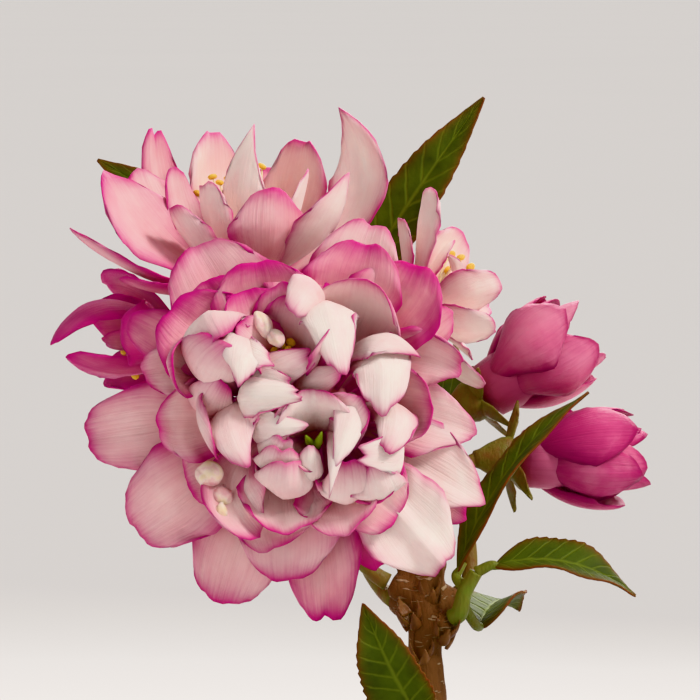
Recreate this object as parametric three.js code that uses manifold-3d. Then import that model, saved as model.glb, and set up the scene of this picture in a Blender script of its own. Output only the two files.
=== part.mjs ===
// A flowering almond grown as a small bonsai: an oval tray, soil, one piece of wood, and sprays of
// double blooms, buds and young toothed leaves. The spray at the tip of the tree is the fullest.
// Millimetres, +Z up. The tray stands on z = 0, and the tree's front looks along -Y.

import * as THREE from 'three';
import { mergeVertices } from 'three/addons/utils/BufferGeometryUtils.js';
import Module from 'manifold-3d';

const wasm = await Module();
wasm.setup();

const DEGREE = Math.PI / 180;
const UP = new THREE.Vector3(0, 0, 1);

// Driving dimensions
const GAP = 0.3;
const TRAY = {
  halfLength: 56, depthShare: 0.74, height: 30, floorTop: 8, lipHeight: 4.6, lipStep: 3.6, rimWidth: 5,
  facets: 24,
};
const FOOT = { height: 3.5, radius: 6, x: 33, y: 22, sides: 8 };
const DRAIN = { radius: 4.5, x: 19 };
const SOIL = { clearance: 0.45, edgeBelowRim: 3.2, moundHeight: 3.4, holeClearance: 0.4 };
const BLADE_THICKNESS = 0.7;
const SLIVER = 0.02;
const CALYX = {
  height: 3.6, mouthRadius: 2, neckRadius: 0.75, thickness: 0.6, lobes: 5, lobeReach: 3.6,
  lobeLift: { bud: 22, bloom: -24 },
};
const STALK_RADIUS = 0.65;
const SPUR_RADIUS = 1.05;
const STEM_RADIUS = { foot: 0.8, tip: 0.6 };
const LEAF = { teeth: 4, toothDepth: 0.07, fold: 0.42, stalkRadius: 0.5 };

const point = (x, y, z) => new THREE.Vector3(x, y, z);

// The spray at the tip has its own frame: right, up and back as seen from the front, tilted by the
// angle at which the tree is looked down on. Its origin is the middle of the front bloom.
const SPRAY_ORIGIN = point(-8, -10, 140);
const VIEW_TILT = 6 * DEGREE;
const sprayDirection = (right, up, back) => point(
  right,
  up * Math.sin(VIEW_TILT) + back * Math.cos(VIEW_TILT),
  up * Math.cos(VIEW_TILT) - back * Math.sin(VIEW_TILT),
);
const spray = (right, up, back) => sprayDirection(right, up, back).add(SPRAY_ORIGIN);

// Solids

function solidOf(geometry) {
  const bare = geometry.clone();
  bare.deleteAttribute('normal');
  bare.deleteAttribute('uv');
  const merged = mergeVertices(bare, 1e-4);
  return new wasm.Manifold(new wasm.Mesh({
    numProp: 3,
    vertProperties: merged.attributes.position.array,
    triVerts: new Uint32Array(merged.index.array),
  }));
}

function geometryOf(solid) {
  const { vertProperties, triVerts } = solid.getMesh();
  const geometry = new THREE.BufferGeometry();
  geometry.setAttribute('position', new THREE.BufferAttribute(vertProperties, 3));
  geometry.setIndex(new THREE.BufferAttribute(triVerts, 1));
  geometry.computeVertexNormals();
  return geometry;
}

// Joins solids, takes out the slivers along the seams, and drops the scraps that stay loose and the
// hollows that the joining seals.
function fuse(solids) {
  const bodies = wasm.Manifold.union(solids).simplify(SLIVER).decompose();
  return bodies.reduce((largest, body) => (body.volume() > largest.volume() ? body : largest));
}

function faceted(positions, triangles) {
  const geometry = new THREE.BufferGeometry();
  const numbers = positions.flatMap((position) => position.toArray());
  geometry.setAttribute('position', new THREE.Float32BufferAttribute(numbers, 3));
  geometry.setIndex(triangles.flat());
  return solidOf(geometry);
}

// A closed surface over rings of points, which run anticlockwise as seen from the last ring. A ring of
// one point closes an end.
function ringedSolid(rings) {
  const triangles = [];
  let start = 0;
  rings.slice(1).forEach((ring, k) => {
    const near = rings[k].length;
    const next = start + near;
    const sides = Math.max(near, ring.length);
    for (let i = 0; i < sides; i++) {
      const j = (i + 1) % sides;
      if (near > 1) triangles.push([start + i, start + j, next + (ring.length > 1 ? j : 0)]);
      if (ring.length > 1) triangles.push([start + (near > 1 ? i : 0), next + j, next + i]);
    }
    start = next;
  });
  return faceted(rings.flat(), triangles);
}

// A tapering limb along a curve. radiusAt gives its radius from t = 0 to 1, lobes scales that radius
// round the section, and both ends run past the curve by overrun.
function limb(curve, radiusAt, { sides, steps, lobes = () => 1, overrun = 0 }) {
  const frames = curve.computeFrenetFrames(steps, false);
  const middles = frames.tangents.map((tangent, j) => {
    const past = (j === steps ? overrun : 0) - (j === 0 ? overrun : 0);
    return curve.getPointAt(j / steps).addScaledVector(tangent, past);
  });
  const rings = middles.map((middle, j) => Array.from({ length: sides }, (_, i) => {
    const angle = (2 * Math.PI * i) / sides;
    const radius = radiusAt(j / steps) * lobes(j / steps, angle);
    return middle.clone()
      .addScaledVector(frames.normals[j], radius * Math.cos(angle))
      .addScaledVector(frames.binormals[j], radius * Math.sin(angle));
  }));
  return ringedSolid([[middles[0]], ...rings, [middles[steps]]]);
}

const mix = (from, to, share) => from + (to - from) * share;
const taper = (from, to) => (t) => mix(from, to, t);
const smooth = (points) => new THREE.CatmullRomCurve3(points, false, 'centripetal');

// Repeatable draws between -spread and spread, so that every build gives the same tree.
function seeded(seed) {
  let state = seed;
  const next = () => {
    state = (Math.imul(state, 1664525) + 1013904223) >>> 0;
    return state / 2 ** 32;
  };
  next();
  return (spread) => spread * (2 * next() - 1);
}

// Petals

// Half the width of a petal at v from its claw (0) to its tip (1), as a share of its full half width.
const petalOutline = (v) => 0.16 + 0.84 * Math.sin(Math.PI * (0.79 * v) ** 1.28);
const TIP_ROUNDING = 0.24;
const SPINE_STEPS = 6;
const LONG_PETAL = 11;

// A spine that leaves at lift0 above its bloom's plane and bends to lift1, in the frame of the bloom,
// whose axis is z. At a share of its length it gives its place, the way across the petal and the way
// the petal's inner face looks.
function liftedSpine({ azimuth, length, lift0, lift1, rootOut, rootUp }) {
  const radial = point(Math.cos(azimuth * DEGREE), Math.sin(azimuth * DEGREE), 0);
  const across = point(-radial.y, radial.x, 0);
  const liftAt = (share) => mix(lift0, lift1, share) * DEGREE;
  return (share) => {
    const place = radial.clone().multiplyScalar(rootOut).addScaledVector(UP, rootUp);
    for (let i = 0; i < SPINE_STEPS; i++) {
      const lift = liftAt((share * (i + 0.5)) / SPINE_STEPS);
      place.addScaledVector(radial, (Math.cos(lift) * length * share) / SPINE_STEPS)
        .addScaledVector(UP, (Math.sin(lift) * length * share) / SPINE_STEPS);
    }
    const lift = liftAt(share);
    const facing = radial.clone().multiplyScalar(-Math.sin(lift)).addScaledVector(UP, Math.cos(lift));
    return { place, across, facing };
  };
}

// A spine that arches from foot over middle to tip, with the petal's inner face towards heart.
function archedSpine(foot, middle, tip, heart) {
  const pull = middle.clone().multiplyScalar(2).addScaledVector(foot, -0.5).addScaledVector(tip, -0.5);
  const arch = new THREE.QuadraticBezierCurve3(foot, pull, tip);
  const side = heart.clone().sub(middle).cross(tip.clone().sub(foot));
  return (share) => {
    const ahead = arch.getTangent(share);
    const across = side.clone().projectOnPlane(ahead).normalize();
    return { place: arch.getPoint(share), across, facing: ahead.clone().cross(across) };
  };
}

// The point at u across (-1 to 1) and v along a petal, and the way its inner side faces there. cup is
// the angle by which an edge turns up, and roll turns the petal about its spine.
function petalPoint({ spineAt, width, cup, roll }, u, v) {
  const { place, across: level, facing: inward } = spineAt(v - TIP_ROUNDING * u * u * v * v);
  const ahead = level.clone().cross(inward);
  const across = level.clone().applyAxisAngle(ahead, roll * DEGREE);
  const facing = inward.clone().applyAxisAngle(ahead, roll * DEGREE);
  const half = 0.5 * width * petalOutline(v);
  const bend = cup * u;
  return {
    place: place.addScaledVector(across, (half * Math.sin(bend)) / cup)
      .addScaledVector(facing, (half * (1 - Math.cos(bend))) / cup),
    facing: facing.multiplyScalar(Math.cos(bend)).addScaledVector(across, -Math.sin(bend)),
  };
}

// A petal as a closed blade over a grid of columns and rows, thick in the middle and sharp at its rim.
// Both sides are split into triangles alike, and no triangle has all its corners on the rim.
function petalBlade(petal) {
  const [columns, rows] = petal.grid;
  const positions = [];
  const upper = [];
  const lower = [];
  for (let j = 0; j <= rows; j++) {
    for (let i = 0; i <= columns; i++) {
      const { place, facing } = petalPoint(petal, (2 * i) / columns - 1, j / rows);
      const onRim = i === 0 || i === columns || j === 0 || j === rows;
      const half = onRim ? 0 : 0.5 * BLADE_THICKNESS;
      upper.push(positions.push(place.clone().addScaledVector(facing, half)) - 1);
      lower.push(onRim ? upper.at(-1) : positions.push(place.clone().addScaledVector(facing, -half)) - 1);
    }
  }
  const triangles = [];
  for (let j = 0; j < rows; j++) {
    for (let i = 0; i < columns; i++) {
      const a = j * (columns + 1) + i;
      const [b, c, d] = [a + 1, a + columns + 2, a + columns + 1];
      const leansRight = (2 * i < columns) === (2 * j < rows);
      for (const [p, q, r] of leansRight ? [[a, b, c], [a, c, d]] : [[a, b, d], [b, c, d]]) {
        triangles.push([upper[p], upper[r], upper[q]], [lower[p], lower[q], lower[r]]);
      }
    }
  }
  return faceted(positions, triangles);
}

const GOLDEN_ANGLE = 137.5;
const PETAL_TRAITS = ['reach', 'width', 'lift0', 'lift1', 'cup', 'rootOut', 'rootUp'];

// Petals in a spiral from the outside in, so that neighbours lie in different layers. Their traits run
// from the outer petal's to the inner one's, each a little off.
function spiralPetals({ count, outer, inner }, seed, scale = 1) {
  const draw = seeded(seed);
  return Array.from({ length: count }, (_, k) => {
    const [reach, width, lift0, lift1, cup, rootOut, rootUp] = PETAL_TRAITS.map((trait) => (
      mix(outer[trait], inner[trait], k / (count - 1))));
    const azimuth = GOLDEN_ANGLE * k + draw(5);
    const length = scale * (reach * (1 + draw(0.07)) - rootOut);
    return {
      width: scale * width * (1 + draw(0.07)),
      spineAt: liftedSpine({
        azimuth, length, lift0: lift0 + draw(3), lift1: lift1 + draw(5), rootOut, rootUp,
      }),
      cup: cup * (1 + draw(0.12)),
      roll: draw(5),
      grid: [2, 2],
    };
  });
}

// The blooms of the tip spray are built petal by petal. Each petal is the foot, middle and tip of its
// spine, as right, up and front of the middle of the front bloom, then its width, the angle by which an
// edge turns up, what its inner face looks at, and its turn about its spine where it has one.
const HEART = {
  front: [0, 0, 12],
  lower: [1.4, -2.9, 7.5],
  upper: [-1.6, 5.8, 7.5],
  side: [-6.6, 3.6, 8],
  hood: [1.4, 3.4, 4],
  bright: [5.4, 0.4, 3],
  top: [-3.6, 20, -9],
  topSide: [-2, 18, 4],
  left: [-17, 6.2, -9],
  right: [15, 12, -9],
};
const FRONT_GUARD = [
  [[-2.6, -0.4, -0.8], [-10.6, -1.6, 0.2], [-18.6, -2.8, -0.8], 7.9, 0.35, HEART.front],
  [[-2.2, -1.6, -0.2], [-8.4, -6.2, 1.2], [-14.3, -10.5, 0.6], 9.4, 0.35, HEART.front],
  [[-1.2, -2.4, -0.8], [-4.2, -9.6, 0.2], [-6.6, -17.1, -0.8], 8.7, 0.35, HEART.front],
  [[-0.2, -2.6, -0.2], [-0.8, -8.8, 1.4], [-1.1, -15, 0.9], 8.9, 0.4, HEART.front],
  [[0.6, -2.6, -0.9], [1.6, -10.6, -0.4], [2.1, -18.7, -1.6], 7.3, 0.35, HEART.front],
  [[1.6, -2.2, -1], [4.6, -8.2, -0.8], [7, -14, -1.8], 5.8, 0.3, HEART.front],
  [[2.2, -2.2, -0.2], [7.4, -8, 1.4], [12.4, -13.8, 0.6], 8.3, 0.35, HEART.front],
  [[2.4, -1.6, -1], [8.4, -5.8, -0.6], [14, -9.6, -1.2], 5.4, 0.3, HEART.front],
  [[2.6, -1.2, -0.6], [9.4, -4.6, 0.6], [15.7, -8.4, 0], 8.3, 0.35, HEART.front],
  [[2.8, -0.4, -0.2], [9.2, -0.8, 1.2], [15.3, -2.6, 0.8], 6.9, 0.5, HEART.front],
  [[2.6, 1.4, -0.8], [8.2, 4.8, 0.6], [12.8, 8, 0.6], 5.2, 0.4, HEART.front],
  [[1.4, 2.4, -1], [4, 9.2, -0.2], [6.2, 15.7, 0], 8.5, 0.4, HEART.front],
  [[-1.6, 2.2, -0.8], [-5.6, 8.2, 0.6], [-9, 13.6, 0.4], 10, 0.3, HEART.front],
  [[-2.6, 1.2, -0.8], [-8.8, 4.4, -0.4], [-14.6, 7.4, -1.6], 5.8, 0.4, HEART.front],
];
const FRONT_COLLAR = [
  [[-2.8, 1.8, 0.4], [-7.2, 5.2, 2.6], [-11, 8.3, 3.4], 9.6, 0.5, HEART.front],
  [[-3, 0.8, 0.4], [-8.6, 2.8, 1.8], [-13.3, 2.7, 2.6], 5.4, 0.6, HEART.front],
  [[-2.2, 2.4, 0.2], [-5.6, 7, 1.6], [-8, 10.6, 2.2], 6.9, 0.4, HEART.front],
  [[-1.2, 2.8, 0.6], [-2.8, 8.2, 2.8], [-3.6, 12.2, 3.8], 9.2, 0.5, HEART.front],
  [[-0.2, 2.8, 0.4], [-0.3, 8.6, 1.8], [-0.3, 13.8, 2.8], 6.4, 0.3, HEART.front],
  [[1.4, 2.8, 0.6], [4, 8.8, 2.4], [5.6, 13.9, 3.4], 8.7, 0.5, HEART.front],
  [[2.6, 2, 0.6], [7.2, 7.2, 2.6], [9.8, 12, 3.2], 8.9, 0.5, HEART.front],
  [[3, 1, 0.4], [8.6, 4, 2.4], [13.3, 2.8, 3], 6.2, 0.7, HEART.front],
  [[-1, -2.8, 0.6], [-2.4, -8.4, 2.4], [-2, -12.1, 3.2], 7.9, 0.5, HEART.front],
  [[-2.8, -1.8, 0.4], [-6.6, -4.8, 1.8], [-9.6, -6.4, 2.4], 7.3, 0.4, HEART.front],
  [[2.2, -2.4, 0.6], [5.6, -6.8, 2.2], [8.4, -9.4, 2.8], 7.1, 0.4, HEART.front],
];
const FRONT_RING = [
  [[-3, -0.6, 0.9], [-8.4, -1.2, 3], [-11.8, -1.2, 5.2], 7.6, 0.7, HEART.front],
  [[-3, -1, 0.9], [-8.2, -0.2, 4.6], [-6.4, -4.6, 7.2], 4.6, 1.1, HEART.front],
  [[-2.2, -2.4, 0.9], [-5.6, -6.4, 3.8], [-3.4, -10.6, 5.8], 6.4, 0.9, HEART.front, 30],
  [[-0.6, -2.8, 0.9], [-1.4, -7.8, 3], [-0.9, -10.4, 6.2], 9.2, 0.8, HEART.front],
  [[1.8, -2.6, 0.9], [3.4, -7.6, 2.8], [4.1, -10.4, 6], 9, 0.8, HEART.front],
  [[2.6, -2, 0.9], [6.2, -5.6, 3.4], [7.7, -7.2, 5.8], 7, 0.7, HEART.front],
  [[3, -0.2, 0.9], [8.2, 0, 2.8], [10.9, -0.2, 6], 9, 0.9, HEART.front],
  [[2.2, 2.2, 0.9], [5, 7, 2.8], [5.4, 10.3, 6.2], 9.4, 0.9, HEART.front],
  [[-2.6, 2, 0.9], [-7.2, 7.6, 4.8], [-6.4, 5.5, 8.2], 8.2, 1, HEART.side, -10],
  [[-2.8, 1.2, 0.9], [-9.6, 3, 3.6], [-10.2, 3.8, 6.8], 7, 1, HEART.side],
  [[-2.8, 1.4, 0.9], [-7.6, 1.9, 5.6], [-5.8, 5, 8.2], 8.6, 1.2, HEART.side, 50],
  [[-2.6, 2, 0.9], [-4.2, 5.2, 7.2], [-4.6, 1.7, 9], 4.6, 0.9, HEART.side, 15],
  [[-2.6, 1.6, 0.9], [-4.6, 4.4, 6.6], [-2.4, 3.5, 8.6], 3.4, 0.8, HEART.side, 155],
  [[-2.8, 0.2, 0.9], [-7.4, -0.8, 4.4], [-6.4, 2.2, 6.8], 6.4, 1.1, HEART.side, 40],
  [[2.8, 1.8, 0.9], [5.8, 5.6, 6.4], [10, 3.8, 6.6], 4.2, 0.8, HEART.bright],
  [[3, 1.2, 0.9], [6.4, 4.6, 6.6], [6.9, -0.3, 8.2], 6.6, 0.9, HEART.bright, 20],
];
const FRONT_UPPER = [
  [[-0.6, 1, 0.9], [-3.6, 1.8, 5.4], [1.4, 4.4, 7.6], 4.6, 0.8, HEART.upper, -20],
  [[1.2, 2.6, 0.9], [1.8, 9.5, 5.2], [-0.6, 7.3, 7.8], 6, 1.1, HEART.upper, -35],
  [[2, 2.4, 0.9], [2.3, 8.5, 6.4], [3.7, 2.4, 9], 6.2, 1.3, HEART.hood, 15],
  [[0, 3, 0.9], [0, 5.6, 4.2], [0.6, 9.2, 5.8], 8, 0.8, HEART.upper],
  [[0.8, 2.4, 0.9], [1.6, 4.4, 5.4], [2.4, 7.2, 7.2], 6, 0.8, HEART.upper],
  [[-1.6, 2.4, 0.9], [-2.9, 4.6, 4.9], [-5, 7, 6.8], 5.6, 0.8, HEART.upper],
  [[-1.2, 3, 0.9], [-3.2, 6.2, 4], [-4.4, 9.8, 5.2], 8, 0.8, HEART.upper],
  [[-0.2, 3, 0.9], [-0.8, 6.6, 4.2], [-1.4, 10.2, 5.4], 6.8, 0.8, HEART.upper],
  [[0.2, 2, 0.9], [0.2, 1.6, 5.6], [3.4, 3, 7.4], 3.6, 0.8, HEART.upper, -105],
];
const FRONT_LOWER = [
  [[-0.6, -2.6, 0.9], [-1.3, -7.5, 4.8], [-1.1, -4.3, 7.9], 7.8, 1.3, HEART.lower, 15],
  [[1.8, -2.6, 0.9], [3.8, -8, 4.4], [3.9, -4.4, 7.2], 7.6, 1.2, HEART.lower, -25],
  [[-0.6, -2.4, 0.9], [-1.6, -6, 4.8], [-1.3, -3.1, 7.8], 6, 1.2, HEART.lower, 25],
  [[-0.8, -2, 0.9], [-2.6, -5, 5], [-1.1, -2.4, 7.8], 4.8, 1.1, HEART.lower, 20],
  [[-1, -1.4, 0.9], [-3.8, -1.6, 6], [1.5, -1.5, 8.5], 3.8, 0.9, HEART.lower, 10],
  [[-2, 0.2, 0.9], [-5.6, -0.4, 6], [-4, -5.4, 8.5], 5.2, 0.8, HEART.lower, -65],
  [[-1.4, -0.2, 0.9], [-5, 0.7, 6.6], [0.1, 0.9, 8.4], 3.8, 0.8, HEART.lower, 25],
  [[-0.8, 0.4, 0.9], [-4.2, 2.2, 5.2], [-0.4, 1.7, 7.6], 3.4, 0.8, HEART.lower, 30],
  [[0.8, -2.8, 0.9], [1, -6.2, 4.8], [0.9, -3.1, 7.3], 3.2, 1.1, HEART.lower, 5],
  [[2, -2.2, 0.9], [3, -3, 7.2], [2.6, -7.2, 8.2], 2, 1.1, HEART.lower, 95],
  [[2.4, -0.6, 0.9], [4.6, 0.6, 6.4], [3, -5, 8.4], 3.6, 1, HEART.lower, 35],
  [[1.2, -2, 0.9], [1.2, -1.1, 5.8], [1.2, 1.4, 8], 7, 0.8, HEART.lower],
  [[2, -1.8, 0.9], [3.4, -1.2, 5.8], [5.2, 0.6, 7.6], 5.6, 0.9, HEART.lower],
  [[2.8, -0.8, 0.9], [7.6, 0, 5.6], [7.2, -3.7, 8], 4.4, 1, HEART.bright, 45],
  [[3, -1.4, 0.9], [8.4, -3.4, 5.8], [4.8, -4, 8.2], 4.4, 0.7, HEART.lower, 25],
  [[2.4, -2.2, 0.9], [6.6, -7.4, 4.6], [6.2, -4.8, 6.9], 5.6, 1.1, HEART.lower, -30],
  [[1.8, -2, 0.9], [3.2, -2.6, 5.4], [4.6, -1.6, 7.2], 4.4, 0.9, HEART.lower],
  [[0.6, -2, 0.9], [-0.2, -1.6, 5.2], [-1.4, 0, 7.4], 4.6, 0.8, HEART.lower],
  [[0.6, -2.8, 0.9], [-0.2, -4.2, 5.4], [-0.4, -4.6, 7.2], 4, 0.9, HEART.lower],
];
const TOP_PETALS = [
  [[-5.8, 10.8, -8.4], [-12.6, 14.4, -6], [-16.9, 20.7, -7], 8.2, 0.5, HEART.topSide],
  [[-5.6, 11.4, -10.8], [-11.4, 16.8, -12.5], [-13, 24.5, -12], 4.6, 0.5, HEART.topSide],
  [[-4.8, 11.4, -11.4], [-7.6, 17, -13], [-8, 24.1, -12], 8.4, 0.5, HEART.top],
  [[-4.2, 11.6, -8.6], [-5.4, 17.6, -7], [-4, 24.2, -7.4], 6, 0.6, HEART.top],
  [[-3, 11.4, -11.6], [-0.8, 17.4, -13.5], [0.1, 23.4, -12.6], 7.4, 0.5, HEART.top],
  [[-1.8, 11, -9.4], [5, 17.8, -9.6], [3.4, 25.5, -9.5], 6.2, 0.5, HEART.topSide],
  [[-3, 11.2, -8], [1.4, 14.6, -3.4], [4, 20.1, -3.2], 5.5, 0.6, HEART.top],
  [[-3.8, 11, -7.8], [-2.6, 13.8, -3], [-2.5, 18.9, -2.4], 7.7, 0.6, HEART.top],
  [[-5.2, 10.4, -7.6], [-8.8, 13.4, -4.6], [-11, 17.2, -4.2], 4.8, 0.8, HEART.top],
  [[-5.2, 11, -9], [-9.6, 15.4, -8.8], [-11.1, 20.8, -8.6], 3.6, 0.6, HEART.topSide],
  [[-4.6, 11, -8.4], [-7.4, 14.6, -6.6], [-8.3, 19.4, -6.6], 5.8, 0.7, HEART.top],
  [[-3.2, 11.4, -9.4], [-0.8, 15.4, -9], [0.6, 20.7, -9], 6.2, 0.7, HEART.top],
  [[-5.6, 10.4, -8.4], [-12.6, 10.8, -5.6], [-20, 15.2, -4.8], 4.3, 0.5, HEART.top],
  [[-5.4, 10.5, -8], [-10.8, 9.6, -5.4], [-15.5, 10.9, -4.6], 3.6, 0.6, HEART.top],
  [[-5.4, 11.2, -10.2], [-11.6, 15.6, -10.4], [-14.3, 20.5, -10.4], 5.8, 0.5, HEART.topSide],
  [[-4, 10.6, -11.8], [-3.2, 15.8, -16.2], [-3.4, 21, -18.4], 7.7, 0.5, HEART.top],
  [[-5, 10.4, -11.6], [-9.4, 14.6, -16], [-12.4, 18.8, -17.6], 7.7, 0.5, HEART.top],
  [[-2.6, 10.4, -11.4], [2.2, 14.8, -15.4], [4.8, 19.4, -16.8], 7.7, 0.5, HEART.top],
];
const LEFT_PETALS = [
  [[-9.6, 5.6, -11.8], [-16.6, 8.8, -7.8], [-21.6, 5.3, -7.2], 4.3, 0.7, HEART.left],
  [[-9.6, 4.2, -11.8], [-15.4, 2.8, -7.6], [-20.2, 4.1, -7], 4.1, 0.7, HEART.left],
  [[-9.8, 5, -13], [-15.2, 7.4, -12.4], [-18.6, 7, -12.6], 5.8, 0.6, HEART.left],
  [[-9.8, 4.6, -11.2], [-13.2, 6, -5.8], [-15.6, 6.4, -5.8], 6, 0.7, HEART.left],
  [[-9.6, 5.4, -13], [-14.4, 9.6, -13], [-17.6, 10.4, -14.4], 5.6, 0.6, HEART.left],
  [[-9.6, 4.2, -13], [-14.2, 3.2, -13.2], [-17.6, 2.6, -14.6], 5.6, 0.6, HEART.left],
  [[-9.8, 4.8, -13.4], [-13.6, 6.4, -15], [-16.4, 6.6, -17.4], 6, 0.5, HEART.left],
  [[-9.8, 4.8, -12.2], [-14, 5.2, -9.4], [-17.4, 5.4, -9.6], 3.7, 0.8, HEART.left],
  [[-9.8, 5.2, -12.2], [-13.8, 8, -9.4], [-16.8, 8, -10], 3.7, 0.8, HEART.left],
];
const RIGHT_PETALS = [
  [[9.8, 8.8, -8.6], [10.3, 14, -7.6], [11.2, 18.8, -8.4], 5.8, 0.5, HEART.right],
  [[10.4, 8.8, -8.8], [11.8, 12.4, -8.8], [13.5, 14.1, -8.8], 3.2, 0.6, HEART.right],
  [[9.6, 8.8, -8.6], [8.9, 13, -8], [8.7, 16.2, -8.2], 4.4, 0.5, HEART.right],
  [[10.4, 8.2, -8.4], [14, 9.4, -6.4], [17.4, 10.4, -6.8], 5.1, 0.6, HEART.right],
  [[10.2, 7.9, -8.3], [13.2, 6.6, -5.8], [17, 6.6, -5.6], 6.2, 0.5, HEART.right],
  [[10.2, 7.6, -8.4], [12.2, 4.2, -5.4], [16, 1.6, -4.6], 5.1, 0.5, HEART.right],
  [[10.4, 8.4, -8.8], [13.6, 10.2, -8.2], [12.9, 13, -8.2], 1.8, 0.9, HEART.right],
  [[10, 8.6, -9.6], [12, 12.2, -12], [14.6, 14.8, -13.6], 5.8, 0.5, HEART.right],
  [[10.5, 8.1, -9.5], [13.8, 8.6, -11.8], [16.8, 8.8, -12.8], 5.8, 0.5, HEART.right],
  [[10.2, 8, -9.5], [13, 6, -11.8], [15.2, 4, -13], 5.8, 0.5, HEART.right],
];
const CHARTS = {
  front_bloom: [
    ...FRONT_GUARD, ...FRONT_COLLAR, ...FRONT_RING, ...FRONT_UPPER, ...FRONT_LOWER,
  ],
  top_bloom: TOP_PETALS,
  left_bloom: LEFT_PETALS,
  right_bloom: RIGHT_PETALS,
};

// The petals of a charted bloom, in its own frame. A longer petal has a finer grid.
function chartedPetals(name, toBloom) {
  return CHARTS[name].map(([foot, middle, tip, width, cup, heart, roll = 0]) => {
    const knots = [foot, middle, tip, heart].map(([right, up, front]) => (
      spray(right, up, -front).applyMatrix4(toBloom)));
    const length = knots[0].distanceTo(knots[1]) + knots[1].distanceTo(knots[2]);
    return { spineAt: archedSpine(...knots), width, cup, roll, grid: [2, length > LONG_PETAL ? 3 : 2] };
  });
}

// Spirals and receptacles of blooms, by how far they have opened
const SPIRALS = {
  open: {
    count: 16,
    outer: { reach: 16.4, width: 9, lift0: 8, lift1: -2, cup: 0.4, rootOut: 2, rootUp: 0.8 },
    inner: { reach: 6.6, width: 5.2, lift0: 74, lift1: 84, cup: 1, rootOut: 0.8, rootUp: 3 },
  },
  goblet: {
    count: 14,
    outer: { reach: 18, width: 8, lift0: 18, lift1: 40, cup: 0.5, rootOut: 2, rootUp: 0.8 },
    inner: { reach: 12.4, width: 5.6, lift0: 66, lift1: 84, cup: 0.9, rootOut: 0.8, rootUp: 3 },
  },
  bud: {
    count: 8,
    outer: { reach: 12.2, width: 8, lift0: 30, lift1: 104, cup: 0.9, rootOut: 1.6, rootUp: 0.8 },
    inner: { reach: 11, width: 6.4, lift0: 56, lift1: 110, cup: 1, rootOut: 0.8, rootUp: 2.2 },
  },
};
const CORES = {
  front: { radius: 4.4, height: 4 },
  open: { radius: 3.4, height: 4 },
  goblet: { radius: 3.2, height: 4 },
  small: { radius: 2.4, height: 3.2 },
  bud: { radius: 2.8, height: 6.5 },
};

// The receptacle in the middle of a bloom: narrow on the calyx, and full where the petals root.
function receptacle({ radius, height }) {
  const profile = [[0, 0], [0.45, 0], [0.92, 0.12], [1, 0.45], [0.72, 0.85], [0, 1]];
  const outline = profile.map(([r, z]) => new THREE.Vector2(r * radius, z * height));
  return solidOf(new THREE.LatheGeometry(outline, 7).rotateX(Math.PI / 2));
}

function petalsSolid({ name, kind, seed, scale }, toBloom) {
  const petals = name in CHARTS ? chartedPetals(name, toBloom) : spiralPetals(SPIRALS[kind], seed, scale);
  return fuse([receptacle(CORES[kind]), ...petals.map(petalBlade)]);
}

// The calyx in the bloom's frame: a cup on a neck, whose mouth runs out into pointed lobes.
function calyxCup(kind) {
  const { height, neckRadius, mouthRadius, lobeReach, lobes, thickness, lobeLift } = CALYX;
  const mouth = -GAP;
  const lift = (kind === 'bud' ? lobeLift.bud : lobeLift.bloom) * DEGREE;
  const ring = (radius, z, lobe = {}) => Array.from({ length: 2 * lobes }, (_, i) => {
    const angle = (Math.PI * i) / lobes;
    const { radius: r = radius, z: h = z } = i % 2 ? lobe : {};
    return point(r * Math.cos(angle), r * Math.sin(angle), h);
  });
  const tip = { radius: mouthRadius + lobeReach * Math.cos(lift), z: mouth + lobeReach * Math.sin(lift) };
  return ringedSolid([
    [point(0, 0, mouth - height)],
    ring(neckRadius, mouth - height),
    ring(0.75 * mouthRadius, mouth - 0.66 * height),
    ring(mouthRadius, mouth - thickness, { z: mouth - 1.4 * thickness }),
    ring(mouthRadius + 0.1, mouth - 0.5 * thickness, tip),
    ring(mouthRadius - 0.1, mouth),
    [point(0, 0, mouth)],
  ]);
}

// The calyx with the stalk that leads to it from the end of its spur.
function calyxSolid({ kind, spur }, toBloom) {
  const [spurFoot, spurEnd] = spur.map((end) => end.clone().applyMatrix4(toBloom));
  const outward = spurEnd.clone().sub(spurFoot).normalize();
  const start = spurEnd.clone().addScaledVector(outward, GAP);
  const end = point(0, 0, 0.5 - CALYX.height);
  const pull = 0.36 * start.distanceTo(end);
  const path = new THREE.CubicBezierCurve3(
    start, start.clone().addScaledVector(outward, pull), end.clone().addScaledVector(UP, -pull), end,
  );
  return fuse([calyxCup(kind), limb(path, taper(STALK_RADIUS, STALK_RADIUS), { sides: 5, steps: 5 })]);
}

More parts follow.
